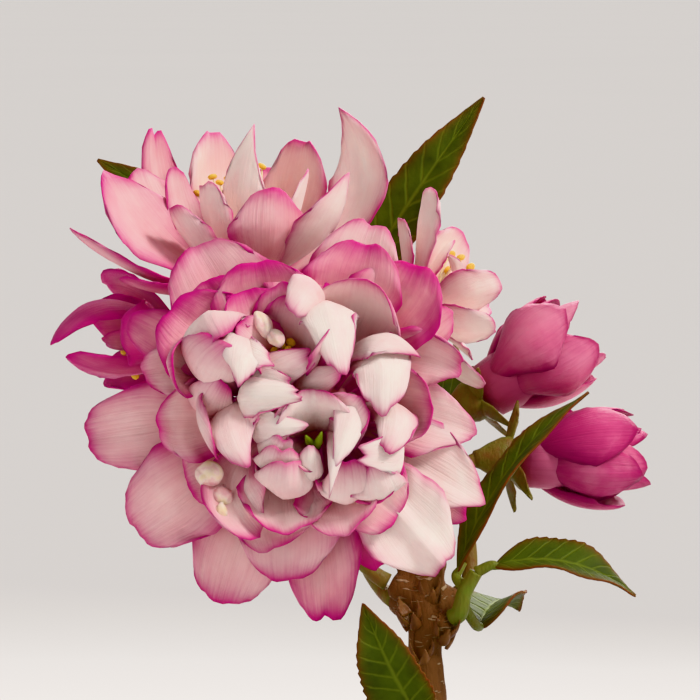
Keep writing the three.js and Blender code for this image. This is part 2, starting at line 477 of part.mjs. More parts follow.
// Every bloom and bud: where its petals sit, which way it faces, and the spur of wood that bears it.
const FLOWERS = [
  { name: 'front_bloom', kind: 'front', seat: spray(0, 0, 1.5), facing: sprayDirection(-0.05, -0.03, -1),
    spur: [spray(10.8, -17.2, 9.4), spray(7.8, -15.8, 9.8)] },
  { name: 'top_bloom', kind: 'goblet', seat: spray(-4, 9.8, 9.6), facing: sprayDirection(-0.24, 0.94, 0.2),
    spur: [spray(10.8, -15.4, 9.8), spray(8.6, -13.2, 12.4)] },
  { name: 'left_bloom', kind: 'small', seat: spray(-8.8, 4.6, 12.8), facing: sprayDirection(-0.9, 0.02, -0.4),
    spur: [spray(10.8, -18.6, 9.6), spray(8.4, -17.6, 13.2)] },
  { name: 'right_bloom', kind: 'small', seat: spray(9.4, 7.4, 9), facing: sprayDirection(0.72, 0.6, 0.3),
    spur: [spray(11, -15, 9.8), spray(11.4, -12, 10.6)] },
  { name: 'upper_bud', kind: 'bud', seed: 51, scale: 0.95, seat: spray(16.2, 0.6, 21.5),
    facing: sprayDirection(0.82, 0.5, 0.1), spur: [spray(11, -15.8, 9.8), spray(11.8, -13.8, 12.8)] },
  { name: 'lower_bud', kind: 'bud', seed: 52, scale: 0.95, seat: spray(19.1, -5, 15.5),
    facing: sprayDirection(0.93, 0, 0.2), spur: [spray(11, -18.4, 9.8), spray(13.6, -17, 11.8)] },

  { name: 'left_spray_bloom', kind: 'open', seed: 61, seat: point(-42, -12, 84),
    facing: point(-0.45, -0.6, 0.66), spur: [point(-34, -7, 74), point(-36, -8.4, 76.4)] },
  { name: 'left_spray_goblet', kind: 'goblet', seed: 62, scale: 0.9, seat: point(-42, 14, 80),
    facing: point(-0.6, 0.5, 0.62), spur: [point(-33, -4, 73.4), point(-35, -0.6, 74.6)] },
  { name: 'right_spray_bloom', kind: 'open', seed: 71, scale: 0.96, seat: point(44, 4, 78),
    facing: point(0.55, -0.45, 0.7), spur: [point(36, 2, 68), point(38.4, 2.4, 70.4)] },
  { name: 'right_spray_bud', kind: 'bud', seed: 72, scale: 0.9, seat: point(46, 22, 66),
    facing: point(0.6, 0.6, 0.5), spur: [point(36.4, 2.8, 67), point(39.4, 7, 66.6)] },
  { name: 'back_spray_bloom', kind: 'open', seed: 81, seat: point(-2, 44, 84),
    facing: point(-0.1, 0.75, 0.65), spur: [point(2, 35, 76), point(1.4, 37.4, 78)] },
  { name: 'back_spray_bud', kind: 'bud', seed: 82, scale: 0.9, seat: point(18, 42, 76),
    facing: point(0.55, 0.5, 0.66), spur: [point(4, 33, 75), point(7.4, 35, 75.4)] },
  { name: 'front_spray_bloom', kind: 'goblet', seed: 91, scale: 0.9, seat: point(18, -38, 66),
    facing: point(0.3, -0.7, 0.64), spur: [point(14, -28, 58), point(15, -30.4, 59.8)] },
];

// The frame of a bloom: z along its axis, and y as nearly up as that allows.
function bloomFrame({ seat, facing }) {
  const z = facing.clone().normalize();
  const nearlyUp = z.z > 0.8 ? point(0, 1, 0) : UP;
  const x = nearlyUp.clone().cross(z).normalize();
  return new THREE.Matrix4().makeBasis(x, z.clone().cross(x), z).setPosition(seat);
}

// Leaves and green shoots

// A toothed leaf with its stalk, from the stem to its tip. Each section has four points: the midrib's
// upper side, one edge, the midrib's underside and the other edge. The blade folds up along its midrib
// and arches towards its upper face.
function leafSolid({ from, foot, tip, face, width, arch }) {
  const axis = tip.clone().sub(foot);
  const across = axis.clone().cross(face).normalize();
  const normal = across.clone().cross(axis).normalize();
  const section = (middle, half, thickness) => [[0, 1], [1, 0], [0, -1], [-1, 0]].map(([side, up]) => (
    middle.clone().addScaledVector(across, side * half)
      .addScaledVector(normal, up ? 0.5 * up * thickness : LEAF.fold * (half - LEAF.stalkRadius))));
  const stations = 2 * LEAF.teeth;
  const blade = Array.from({ length: stations - 1 }, (_, i) => {
    const v = (i + 1) / stations;
    const edge = 1 + LEAF.toothDepth * (i % 2 ? -1 : 1);
    const half = 0.5 * width * edge * Math.sin(Math.PI * v ** 0.75) ** 0.9;
    const middle = foot.clone().addScaledVector(axis, v).addScaledVector(normal, 4 * arch * v * (1 - v));
    return section(middle, half, BLADE_THICKNESS);
  });
  const stalk = (middle) => section(middle, LEAF.stalkRadius, 2 * LEAF.stalkRadius);
  return ringedSolid([[from], stalk(from), stalk(foot), ...blade, [tip]]);
}

// Each shoot: the spur it springs from, its green stem, and its leaves as [share of the stem, foot, tip,
// the way the upper face looks, width, arch].
const SHOOTS = [
  { name: 'tip_shoot', spur: [spray(10.8, -20.6, 9.2), spray(13, -18.8, 7.6)],
    stem: [spray(14.2, -16.4, 6.8), spray(15.2, -14.6, 6.6)],
    leaves: [
      [0.6, spray(13.6, -14.8, 8), spray(25.2, 1, 10), sprayDirection(-0.5, 0.5, -0.35), 3.8, 1.8],
      [1, spray(16.8, -14, 6.4), spray(29, -16.6, 6), sprayDirection(0.1, 0.85, -0.5), 5, 1.8],
      [0.35, spray(15.6, -19.6, 10), spray(19.6, -19, 23), sprayDirection(-0.3, 0.5, -0.8), 5.4, 1.4],
    ] },
  { name: 'back_shoot', spur: [spray(10.8, -20.4, 9.2), spray(10.4, -19.4, 13)],
    stem: [spray(9, -11, 19.8), spray(5.4, 1, 23), spray(2.6, 7, 23)],
    leaves: [
      [1, spray(4.4, 9.8, 22.8), spray(16.4, 27.6, 20), sprayDirection(-0.2, 0.1, -1), 5, 1.2],
      [1, spray(0, 9.6, 24.2), spray(-19, 22.2, 25), sprayDirection(0.1, 0.3, -1), 5, 1.2],
      [0.5, spray(10.4, -5, 23), spray(18, 3, 29), sprayDirection(-0.2, 0.6, 0.5), 6, 1.6],
      [0.55, spray(3, -4, 23.6), spray(-11, -7, 31), sprayDirection(-0.2, 0.6, 0.7), 6.4, 1.6],
    ] },
  { name: 'low_tip_shoot', spur: [point(5, -5, 110), point(4.4, -8, 111)],
    stem: [point(4, -10.4, 112.4)],
    leaves: [
      [1, spray(10.6, -27.4, 2.4), spray(5.4, -16.8, -1.4), sprayDirection(-0.35, 0.1, -0.9), 5.6, 1],
      [0.5, spray(14, -30.4, 3), spray(27, -33, -3), sprayDirection(0, 0.9, -0.3), 6.4, 2],
    ] },
  { name: 'left_shoot', spur: [point(-36, -6, 75), point(-38.6, -5, 76)],
    stem: [point(-43, -2, 76), point(-48, 0, 75)],
    leaves: [
      [1, point(-50.6, 0.6, 74.6), point(-68, 5, 67), point(-0.2, 0, 1), 7, 2],
      [0.75, point(-46.6, -3.2, 74), point(-54, -20, 64), point(-0.2, -0.2, 1), 7, 2],
      [0.4, point(-41.4, -4.4, 73), point(-42, -22, 65), point(0, -0.2, 1), 6, 1.6],
      [0.9, point(-48.6, 2.6, 73.4), point(-57, 19, 66), point(-0.2, 0.2, 1), 7, 2],
    ] },
  { name: 'right_shoot', spur: [point(38, 3, 67), point(40.4, 2.6, 66.4)],
    stem: [point(46, 1, 65), point(51, 0, 64)],
    leaves: [
      [1, point(53.4, -0.4, 64), point(70, -3, 60), point(0.2, 0, 1), 7, 2.4],
      [0.8, point(49, -2.8, 63.4), point(60, -18, 56), point(0.2, -0.2, 1), 7, 2],
      [0.45, point(44.8, -0.8, 64), point(46, -18, 58), point(0, -0.2, 1), 6.4, 1.8],
      [0.9, point(50.6, 2.4, 63), point(64, 14, 60), point(0.2, 0.2, 1), 6.4, 1.6],
    ] },
  { name: 'back_left_shoot', spur: [point(1, 34.6, 75), point(-0.8, 37, 73.8)],
    stem: [point(-4, 42, 70.6), point(-7, 47, 68.6)],
    leaves: [
      [1, point(-8, 49.4, 68), point(-16, 64, 62), point(0, 0.2, 1), 7, 2.2],
      [0.7, point(-7, 43.4, 69), point(-22, 46, 62), point(-0.2, 0.2, 1), 6.6, 2],
      [0.6, point(-2.4, 44.6, 69.6), point(6, 58, 62), point(0.2, 0.2, 1), 6.6, 2],
    ] },
  { name: 'front_shoot', spur: [point(14.4, -29, 57), point(15.4, -31, 55.6)],
    stem: [point(17, -35, 52.4), point(18, -39, 50)],
    leaves: [
      [1, point(18.6, -41, 49.4), point(24, -54, 44), point(0, -0.2, 1), 6.6, 1.8],
      [0.75, point(15.4, -38, 50.6), point(3, -46, 46), point(-0.2, -0.2, 1), 6.6, 2],
      [0.55, point(19.6, -36.4, 51.6), point(33, -38, 47), point(0.2, 0, 1), 6.6, 2],
    ] },
  { name: 'mid_shoot', spur: [point(-2, -1, 92), point(-4.4, 1, 93.6)],
    stem: [point(-8, 3.4, 94.6), point(-11, 5, 94.4)],
    leaves: [
      [1, point(-13, 5.6, 94.4), point(-28, 9, 91), point(-0.2, 0, 1), 6.6, 2.2],
      [0.8, point(-10.6, 7.4, 93.8), point(-16, 21, 89), point(-0.2, 0.2, 1), 6.6, 2],
      [0.6, point(-8.8, 1.4, 94), point(-19, -9, 91), point(-0.2, -0.2, 1), 6.4, 1.8],
    ] },
];

function shootSolid({ spur: [spurFoot, spurEnd], stem, leaves }) {
  const outward = spurEnd.clone().sub(spurFoot).normalize();
  const start = spurEnd.clone().addScaledVector(outward, GAP);
  const path = smooth([start, start.clone().addScaledVector(outward, 0.8), ...stem]);
  const green = limb(path, taper(STEM_RADIUS.foot, STEM_RADIUS.tip), { sides: 5, steps: 2 + stem.length });
  const blades = leaves.map(([share, foot, tip, face, width, arch]) => (
    leafSolid({ from: path.getPointAt(share), foot, tip, face, width, arch })));
  return fuse([green, ...blades]);
}

// Wood: root flare, trunk, branches and the spurs that bear blooms and shoots, one grown piece

const TRUNK_PATH = [
  point(-11, 4, 22), point(-9, 4, 34), point(-3, 3, 48), point(4, 1, 60), point(4, 0, 74), point(-1, -1, 88),
  point(-1, -2, 100), point(3, -4, 110), spray(10.8, -20.4, 9), spray(11, -14.6, 9.8),
];
const trunkRadius = (t) => 1.3 + 6.8 * (1 - t) ** 1.3 + 3.4 * Math.max(0, 1 - t / 0.16) ** 2;
const trunkLobes = (t, angle) => (
  1 + 0.09 * Math.cos(3 * angle + 4 * t) + 0.05 * Math.cos(5 * angle - 9 * t + 1));

const BRANCHES = [
  { radius: [3.6, 1.5],
    path: [
      point(2, 2, 56), point(-9, -1, 62), point(-22, -5, 66), point(-31, -6, 71.4), point(-37, -6, 76),
    ] },
  { radius: [3.2, 1.5],
    path: [point(4, 1, 66), point(15, 3, 66), point(27, 2, 63), point(35, 2, 66), point(38.4, 3.4, 68.4)] },
  { radius: [3, 1.4],
    path: [point(4, 0, 70), point(6, 10, 73), point(5, 22, 71), point(3, 31, 74), point(2.4, 36, 76.4)] },
  { radius: [3, 1.4],
    path: [point(0, 2, 50), point(5, -9, 52), point(11, -19, 52), point(14, -27, 56), point(14.6, -30, 58)] },
];

const ROOT_CROWN = point(-10, 4, 0);
const ROOT_DROP = [[0.08, 37], [0.38, 33.6], [0.7, 30.6], [1, 26.6]];
const ROOTS = [
  { heading: 200, reach: 21, radius: 3.6 },
  { heading: 262, reach: 19, radius: 3.2 },
  { heading: 318, reach: 22, radius: 3.4 },
  { heading: 18, reach: 20, radius: 3.2 },
  { heading: 84, reach: 18, radius: 3 },
  { heading: 140, reach: 20, radius: 3.4 },
];

// The trunk and its surface roots, made larger all round by grow to cut their hole in the soil.
function rootedTrunk(grow) {
  const trunk = limb(smooth(TRUNK_PATH), (t) => trunkRadius(t) + grow, {
    sides: 10, steps: 17, lobes: trunkLobes, overrun: grow,
  });
  const roots = ROOTS.map(({ heading, reach, radius }) => {
    const outward = point(Math.cos(heading * DEGREE), Math.sin(heading * DEGREE), 0);
    const path = ROOT_DROP.map(([share, z]) => (
      ROOT_CROWN.clone().addScaledVector(outward, share * reach).addScaledVector(UP, z)));
    const radii = taper(radius + grow, 0.45 * radius + grow);
    return limb(smooth(path), radii, { sides: 5, steps: 3, overrun: grow });
  });
  return [trunk, ...roots];
}

function woodSolid() {
  const branches = BRANCHES.map(({ path, radius }) => (
    limb(smooth(path), taper(...radius), { sides: 6, steps: 7 })));
  const spurs = [...FLOWERS, ...SHOOTS].map(({ spur }) => (
    limb(new THREE.LineCurve3(...spur), taper(1.25 * SPUR_RADIUS, SPUR_RADIUS), { sides: 4, steps: 1 })));
  return fuse([...rootedTrunk(0), ...branches, ...spurs]);
}

// Tray and soil

function ovalSolid(profile) {
  const geometry = new THREE.LatheGeometry(profile.map(([r, z]) => new THREE.Vector2(r, z)), TRAY.facets);
  return solidOf(geometry.rotateX(Math.PI / 2).scale(1, TRAY.depthShare, 1));
}

// The tray's inside from the floor to the rim, drawn in by inset.
const innerWall = (inset) => [
  [TRAY.halfLength - 12.6 - inset, TRAY.floorTop + inset],
  [TRAY.halfLength - 9 - inset, TRAY.floorTop + 5],
  [TRAY.halfLength - TRAY.rimWidth - inset, TRAY.height],
];

function upright(radius, [low, high], x, y) {
  const geometry = new THREE.CylinderGeometry(radius, radius, high - low, FOOT.sides);
  return solidOf(geometry.rotateX(Math.PI / 2).translate(x, y, (low + high) / 2));
}

function traySolid() {
  const { halfLength, height, floorTop, lipHeight, lipStep } = TRAY;
  const body = ovalSolid([
    [0, FOOT.height], [halfLength - 14, FOOT.height], [halfLength - 9.4, FOOT.height + 3],
    [halfLength - lipStep, height - lipHeight - 1], [halfLength, height - lipHeight], [halfLength, height],
    ...innerWall(0).toReversed(), [0, floorTop],
  ]);
  const feet = [[1, 1], [-1, 1], [-1, -1], [1, -1]].map(([x, y]) => (
    upright(FOOT.radius, [0, FOOT.height + 1.5], x * FOOT.x, y * FOOT.y)));
  const drains = [-1, 1].map((side) => upright(DRAIN.radius, [0, floorTop + 2], side * DRAIN.x, 0));
  return fuse([body, ...feet]).subtract(wasm.Manifold.union(drains));
}

// Soil fills the tray to just below its rim, mounds up to the trunk and keeps the hole the trunk stands in.
function soilSolid() {
  const [low, knee, rim] = innerWall(SOIL.clearance);
  const edge = TRAY.height - SOIL.edgeBelowRim;
  const edgeRadius = mix(knee[0], rim[0], (edge - knee[1]) / (rim[1] - knee[1]));
  const mound = [1, 0.75, 0.4, 0].map((share) => (
    [share * edgeRadius, edge + SOIL.moundHeight * (1 - share * share)]));
  const hole = wasm.Manifold.union(rootedTrunk(SOIL.holeClearance));
  return ovalSolid([[0, low[1]], low, knee, ...mound]).subtract(hole);
}

// Assembly

const material = (color, roughness) => new THREE.MeshStandardMaterial({ color, roughness, metalness: 0 });
const MATERIALS = {
  stoneware: material(0x4a3428, 0.55),
  soil: material(0x4b3a2a, 0.95),
  bark: material(0x5a4536, 0.9),
  petal: material(0xe9b3c0, 0.6),
  budPetal: material(0xc23a72, 0.6),
  calyx: material(0x6f7a35, 0.6),
  leaf: material(0x5c7a2a, 0.55),
};

const bonsai = new THREE.Group();

function addMesh(parent, name, solid, look) {
  const mesh = new THREE.Mesh(geometryOf(solid), look);
  mesh.name = name;
  parent.add(mesh);
}

addMesh(bonsai, 'tray', traySolid(), MATERIALS.stoneware);
addMesh(bonsai, 'soil', soilSolid(), MATERIALS.soil);
addMesh(bonsai, 'wood', woodSolid(), MATERIALS.bark);

for (const flower of FLOWERS) {
  const frame = bloomFrame(flower);
  const toBloom = frame.clone().invert();
  const bloom = new THREE.Group();
  frame.decompose(bloom.position, bloom.quaternion, bloom.scale);
  const look = flower.kind === 'bud' ? MATERIALS.budPetal : MATERIALS.petal;
  addMesh(bloom, `${flower.name}_petals`, petalsSolid(flower, toBloom), look);
  addMesh(bloom, `${flower.name}_calyx`, calyxSolid(flower, toBloom), MATERIALS.calyx);
  bonsai.add(bloom);
}

for (const shoot of SHOOTS) {
  addMesh(bonsai, shoot.name, shootSolid(shoot), MATERIALS.leaf);
}

// The origin is the middle of the whole tree's footprint, on the surface that the tray stands on.
const middle = new THREE.Box3().setFromObject(bonsai, true).getCenter(point(0, 0, 0));
bonsai.position.set(-middle.x, -middle.y, 0);

export default bonsai;
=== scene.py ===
"""The looks of a flowering almond bonsai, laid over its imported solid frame.

Sizes in this file are in millimetres, in the tree's own frame: the tray is centred on the origin, +Z is up
and the tree's front looks along -Y. They turn into metres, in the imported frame, where a mesh is made.
"""

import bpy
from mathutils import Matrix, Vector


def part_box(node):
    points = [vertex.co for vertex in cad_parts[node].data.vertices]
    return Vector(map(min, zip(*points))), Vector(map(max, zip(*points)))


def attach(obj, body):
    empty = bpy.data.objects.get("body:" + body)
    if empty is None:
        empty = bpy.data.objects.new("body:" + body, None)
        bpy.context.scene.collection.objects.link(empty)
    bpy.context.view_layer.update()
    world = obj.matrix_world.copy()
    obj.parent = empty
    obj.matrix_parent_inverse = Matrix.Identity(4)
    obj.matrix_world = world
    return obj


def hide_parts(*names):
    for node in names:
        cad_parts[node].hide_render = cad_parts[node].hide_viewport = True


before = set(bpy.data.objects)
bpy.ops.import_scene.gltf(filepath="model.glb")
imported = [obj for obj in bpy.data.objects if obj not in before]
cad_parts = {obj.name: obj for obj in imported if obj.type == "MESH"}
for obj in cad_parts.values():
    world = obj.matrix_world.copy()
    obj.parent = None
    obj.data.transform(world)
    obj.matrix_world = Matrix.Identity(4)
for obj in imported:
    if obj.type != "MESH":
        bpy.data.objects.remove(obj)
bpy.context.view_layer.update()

import logging
import math
from dataclasses import dataclass, field, replace
from enum import Enum
from typing import Callable, NamedTuple

import bpy
import numpy as np
from mathutils import Matrix, Vector, noise

LOG = logging.getLogger("bonsai")
MILLIMETRE = 0.001
UP = np.array([0.0, 0.0, 1.0])
VIEW_TILT = math.radians(6)
SPRAY_ORIGIN = np.array([-8.0, -10.0, 140.0])
TRAY_BOX = [np.array(corner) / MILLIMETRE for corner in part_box("tray")]
SHIFT = (TRAY_BOX[0] + TRAY_BOX[1]) / 2 * np.array([1, 1, 0])
TRUNK_FOOT = np.array([-10.0, 4.0, 0.0])
GOLDEN_ANGLE = 137.5
SIDE_VEINS = 9.0
VEIN_SLANT = 0.16

Array = np.ndarray
Colour = tuple[float, float, float]
Lobes = Callable[[float, Array], Array]


def heading(right: float, up: float, back: float) -> Array:
    """Returns a direction or an offset of the tip spray, given as seen from the tree's front."""
    sine, cosine = math.sin(VIEW_TILT), math.cos(VIEW_TILT)
    return np.array([right, up * sine + back * cosine, up * cosine - back * sine])


def spray(right: float, up: float, back: float) -> Array:
    """Returns a point of the tip spray, given from the middle of the front bloom."""
    return SPRAY_ORIGIN + heading(right, up, back)


def point(x: float, y: float, z: float) -> Array:
    """Returns a point of the tree's frame."""
    return np.array([x, y, z], float)


def around(out: float, bearing: float, up: float) -> Array:
    """Returns a point out from the z axis at a bearing in degrees, and up along it."""
    angle = math.radians(bearing)
    return np.array([out * math.cos(angle), out * math.sin(angle), up])


def axes(ahead: Array, hint: Array) -> Array:
    """Returns the axes of a frame as columns: z is ahead, and x is square to it and to the hint."""
    z = unit(ahead)
    x = unit(np.cross(hint, z))
    return np.stack([x, np.cross(z, x), z], axis=1)


def phases(wander: np.random.Generator) -> tuple[float, float, float]:
    """Returns three drawn starts of waves."""
    return tuple(wander.uniform(0, 6.28, 3))


def unit(vector: Array) -> Array:
    """Returns the vector at length one."""
    return vector / np.linalg.norm(vector)


def mix(start: float, end: float, share: float | Array) -> float | Array:
    """Returns the value at a share of the way from start to end."""
    return start + (end - start) * share


def ease(low: float, high: float, value: Array) -> Array:
    """Returns 0 below low, 1 above high and a smooth rise between."""
    share = np.clip((value - low) / (high - low), 0, 1)
    return share * share * (3 - 2 * share)


def linear(red: int, green: int, blue: int) -> Colour:
    """Returns a display colour of 0 to 255 as the light values that a shader takes."""
    shares = [channel / 255 for channel in (red, green, blue)]
    return tuple(s / 12.92 if s <= 0.04045 else ((s + 0.055) / 1.055) ** 2.4 for s in shares)


class Draws:
    """Repeatable draws, the same as those that place the solid petals."""

    def __init__(self, seed: int) -> None:
        """Starts the row of draws that a seed gives.

        Args:
            seed: The number that names the row.
        """
        self.state = seed
        self.advance()

    def advance(self) -> float:
        """Returns the next value between 0 and 1."""
        self.state = (self.state * 1664525 + 1013904223) % 2**32
        return self.state / 2**32

    def __call__(self, spread: float) -> float:
        """Returns the next value between -spread and spread."""
        return spread * (2 * self.advance() - 1)


# Curves


def catmull_rom(knots: list[Array], count: int) -> Array:
    """Samples a smooth curve through knots at even steps of its length.

    Args:
        knots: The points that the curve passes through.
        count: How many samples to take.

    Returns:
        The samples, one row each.
    """
    ends = [2 * knots[0] - knots[1], *knots, 2 * knots[-1] - knots[-2]]
    dense = []
    for p0, p1, p2, p3 in zip(ends, ends[1:], ends[2:], ends[3:]):
        t1 = np.linalg.norm(p1 - p0) ** 0.5
        t2 = t1 + np.linalg.norm(p2 - p1) ** 0.5
        t3 = t2 + np.linalg.norm(p3 - p2) ** 0.5
        t = np.linspace(t1, t2, 24, endpoint=False)[:, None]
        a1 = (t1 - t) / t1 * p0 + t / t1 * p1
        a2 = (t2 - t) / (t2 - t1) * p1 + (t - t1) / (t2 - t1) * p2
        a3 = (t3 - t) / (t3 - t2) * p2 + (t - t2) / (t3 - t2) * p3
        b1 = (t2 - t) / t2 * a1 + t / t2 * a2
        b2 = (t3 - t) / (t3 - t1) * a2 + (t - t1) / (t3 - t1) * a3
        dense.append((t2 - t) / (t2 - t1) * b1 + (t - t1) / (t2 - t1) * b2)
    line = np.vstack([*dense, knots[-1]])
    return resample(line, count)


def bezier(p0: Array, p1: Array, p2: Array, p3: Array, count: int) -> Array:
    """Returns samples of a cubic curve from p0 to p3 that p1 and p2 pull on."""
    t = np.linspace(0, 1, count)[:, None]
    return (1 - t) ** 3 * p0 + 3 * (1 - t) ** 2 * t * p1 + 3 * (1 - t) * t**2 * p2 + t**3 * p3


def resample(line: Array, count: int) -> Array:
    """Returns a polyline's points again, count of them at even steps of its length."""
    reach = np.concatenate([[0], np.cumsum(np.linalg.norm(np.diff(line, axis=0), axis=1))])
    stops = np.linspace(0, reach[-1], count)
    return np.stack([np.interp(stops, reach, line[:, axis]) for axis in range(3)], axis=1)


# Shells and meshes


@dataclass
class Shell:
    """A closed shell that becomes part of a mesh.

    Attributes:
        points: The vertices in millimetres, one row each.
        quads: Four vertex numbers for each face.
        triangles: Three vertex numbers for each face.
        uv: A pattern coordinate for each vertex.
        marks: Named numbers for each vertex, which the materials read.
    """

    points: Array
    quads: Array
    triangles: Array = field(default_factory=lambda: np.zeros((0, 3), int))
    uv: Array | None = None
    marks: dict[str, Array] = field(default_factory=dict)

    def moved(self, basis: Array, origin: Array) -> "Shell":
        """Returns the shell in the frame whose axes are the columns of basis, at origin."""
        return replace(self, points=self.points @ basis.T + origin)

    def marked(self, **marks: float) -> "Shell":
        """Returns the shell with the same number set for each vertex under each name."""
        full = {name: np.full(len(self.points), value) for name, value in marks.items()}
        return replace(self, marks={**self.marks, **full})


def sweep(path: Array, radii: Array, sides: int, lobes: Lobes | None = None) -> Shell:
    """Makes a round limb along a path, closed at both ends.

    Args:
        path: The points of its middle line.
        radii: Its radius at each of those points.
        sides: How many faces go round it.
        lobes: Scales the radius round the section, from the share of the path and the angle.

    Returns:
        The limb's shell, whose uv runs round it and along it.
    """
    tangents = np.gradient(path, axis=0)
    tangents /= np.linalg.norm(tangents, axis=1)[:, None]
    side = unit(np.cross(tangents[0], [0.31, 0.17, 0.93] if abs(tangents[0][2]) < 0.9 else [0.9, 0.3, 0.1]))
    angles = np.arange(sides) / sides * 2 * math.pi
    rings, uv = [], []
    for j, (middle, tangent, radius) in enumerate(zip(path, tangents, radii)):
        side = unit(side - tangent * (side @ tangent))
        other = np.cross(tangent, side)
        share = j / (len(path) - 1)
        reach = radius * (lobes(share, angles) if lobes else np.ones(sides))
        turn = (reach * np.cos(angles))[:, None] * side + (reach * np.sin(angles))[:, None] * other
        rings.append(middle + turn)
        uv.append(np.stack([angles / (2 * math.pi), np.full(sides, share)], axis=1))
    points = np.vstack([*rings, path[0], path[-1]])
    start = (np.arange(len(path) - 1) * sides)[:, None]
    near, far = np.arange(sides), (np.arange(sides) + 1) % sides
    corners = [start + near, start + far, start + sides + far, start + sides + near]
    quads = np.stack(corners, axis=2).reshape(-1, 4)
    foot, tip = len(points) - 2, len(points) - 1
    last = (len(path) - 1) * sides
    triangles = np.vstack([
        np.stack([far, near, np.full(sides, foot)], axis=1),
        np.stack([last + near, last + far, np.full(sides, tip)], axis=1),
    ])
    return Shell(points, quads, triangles, np.vstack([*uv, [[0.5, 0], [0.5, 1]]]))


class Workshop:
    """Turns shells into dressed objects that ride on the tree."""

    @staticmethod
    def linked(name: str, data: bpy.types.ID) -> bpy.types.Object:
        """Returns a new object of the scene that holds the data."""
        thing = bpy.data.objects.new(name, data)
        bpy.context.scene.collection.objects.link(thing)
        return thing

    @staticmethod
    def mesh_object(name: str, shells: list[Shell]) -> bpy.types.Object:
        """Makes one object of shells, with its place in its mesh.

        Args:
            name: The object's name.
            shells: The closed shells that it holds.

        Returns:
            The object, smooth shaded.
        """
        offsets = np.cumsum([0, *(len(shell.points) for shell in shells)])
        quads = np.vstack([shell.quads + start for shell, start in zip(shells, offsets)])
        triangles = np.vstack([shell.triangles + start for shell, start in zip(shells, offsets)])
        points = (np.vstack([shell.points for shell in shells]) + SHIFT) * MILLIMETRE
        mesh = bpy.data.meshes.new(name)
        mesh.from_pydata(points.tolist(), [], quads.tolist() + triangles.tolist())
        if all(shell.uv is not None for shell in shells):
            layer = mesh.uv_layers.new(name="pattern")
            corners = np.zeros(len(mesh.loops), int)
            mesh.loops.foreach_get("vertex_index", corners)
            layer.data.foreach_set("uv", np.vstack([shell.uv for shell in shells])[corners].ravel())
        for mark in shells[0].marks:
            values = np.concatenate([shell.marks[mark] for shell in shells]).astype(np.float32)
            mesh.attributes.new(mark, "FLOAT", "POINT").data.foreach_set("value", values)
        mesh.shade_smooth()
        return Workshop.linked(name, mesh)

    @staticmethod
    def make(name: str, shells: list[Shell], finish: "Finish", slot: str, *nodes: str) -> None:
        """Makes a piece of shells, dresses it and puts it in the place of its solids."""
        Workshop.finish(Workshop.mesh_object(name, shells), finish, slot, *nodes)

    @staticmethod
    def finish(thing: bpy.types.Object, finish: "Finish", slot: str, *nodes: str) -> None:
        """Dresses a piece and puts it in the place of its solids.

        Args:
            thing: The piece.
            finish: Its finish.
            slot: The record's material slot that the finish belongs to; not used.
            nodes: The solids that the piece stands for.
        """
        thing.data.materials.clear()
        thing.data.materials.append(finish.material())
        if nodes:
            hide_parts(*nodes)
        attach(thing, "root")
        LOG.info("%s: %d faces", thing.name, len(thing.data.polygons))

    @staticmethod
    def pick_only(thing: bpy.types.Object) -> None:
        """Makes the object the only one that is selected, and active."""
        bpy.ops.object.select_all(action="DESELECT")
        thing.select_set(True)
        bpy.context.view_layer.objects.active = thing

    @staticmethod
    def apply(thing: bpy.types.Object, kind: str, **settings: object) -> None:
        """Adds a modifier with its settings to the object and applies it."""
        Workshop.pick_only(thing)
        modifier = thing.modifiers.new(kind.lower(), kind)
        for name, value in settings.items():
            setattr(modifier, name, value)
        bpy.ops.object.modifier_apply(modifier=modifier.name)

    @staticmethod
    def places(thing: bpy.types.Object) -> Array:
        """Returns where an object's vertices are, in the object's own units, one row each."""
        places = np.zeros(len(thing.data.vertices) * 3)
        thing.data.vertices.foreach_get("co", places)
        return places.reshape(-1, 3)

    @staticmethod
    def raise_skin(thing: bpy.types.Object, height: Array) -> None:
        """Raises each vertex of an object by a height in millimetres."""
        normals = np.zeros(len(thing.data.vertices) * 3)
        thing.data.vertex_normals.foreach_get("vector", normals)
        raised = Workshop.places(thing) + normals.reshape(-1, 3) * height[:, None] * MILLIMETRE
        thing.data.vertices.foreach_set("co", raised.ravel())
        thing.data.update()

    @staticmethod
    def shell_of(thing: bpy.types.Object) -> Shell:
        """Returns an object's mesh as a shell in the object's own units, and deletes the object."""
        points = Workshop.places(thing)
        faces = [tuple(face.vertices) for face in thing.data.polygons]
        quads = np.array([face for face in faces if len(face) == 4] or np.zeros((0, 4)), int)
        triangles = np.array([face for face in faces if len(face) == 3] or np.zeros((0, 3)), int)
        bpy.data.objects.remove(thing)
        return Shell(points, quads, triangles)


# Materials


def joined(operation: str, swapped: bool = False) -> Callable[["Value", "Value | float"], "Value"]:
    """Makes an operator for shader values.

    Args:
        operation: The Math node's operation.
        swapped: Whether the value is its second input.

    Returns:
        The operator's method.
    """

    def method(value: "Value", other: "Value | float") -> "Value":
        """Returns the result of the Math node that joins the two."""
        return value.graph.math(operation, *((other, value) if swapped else (value, other)))

    return method


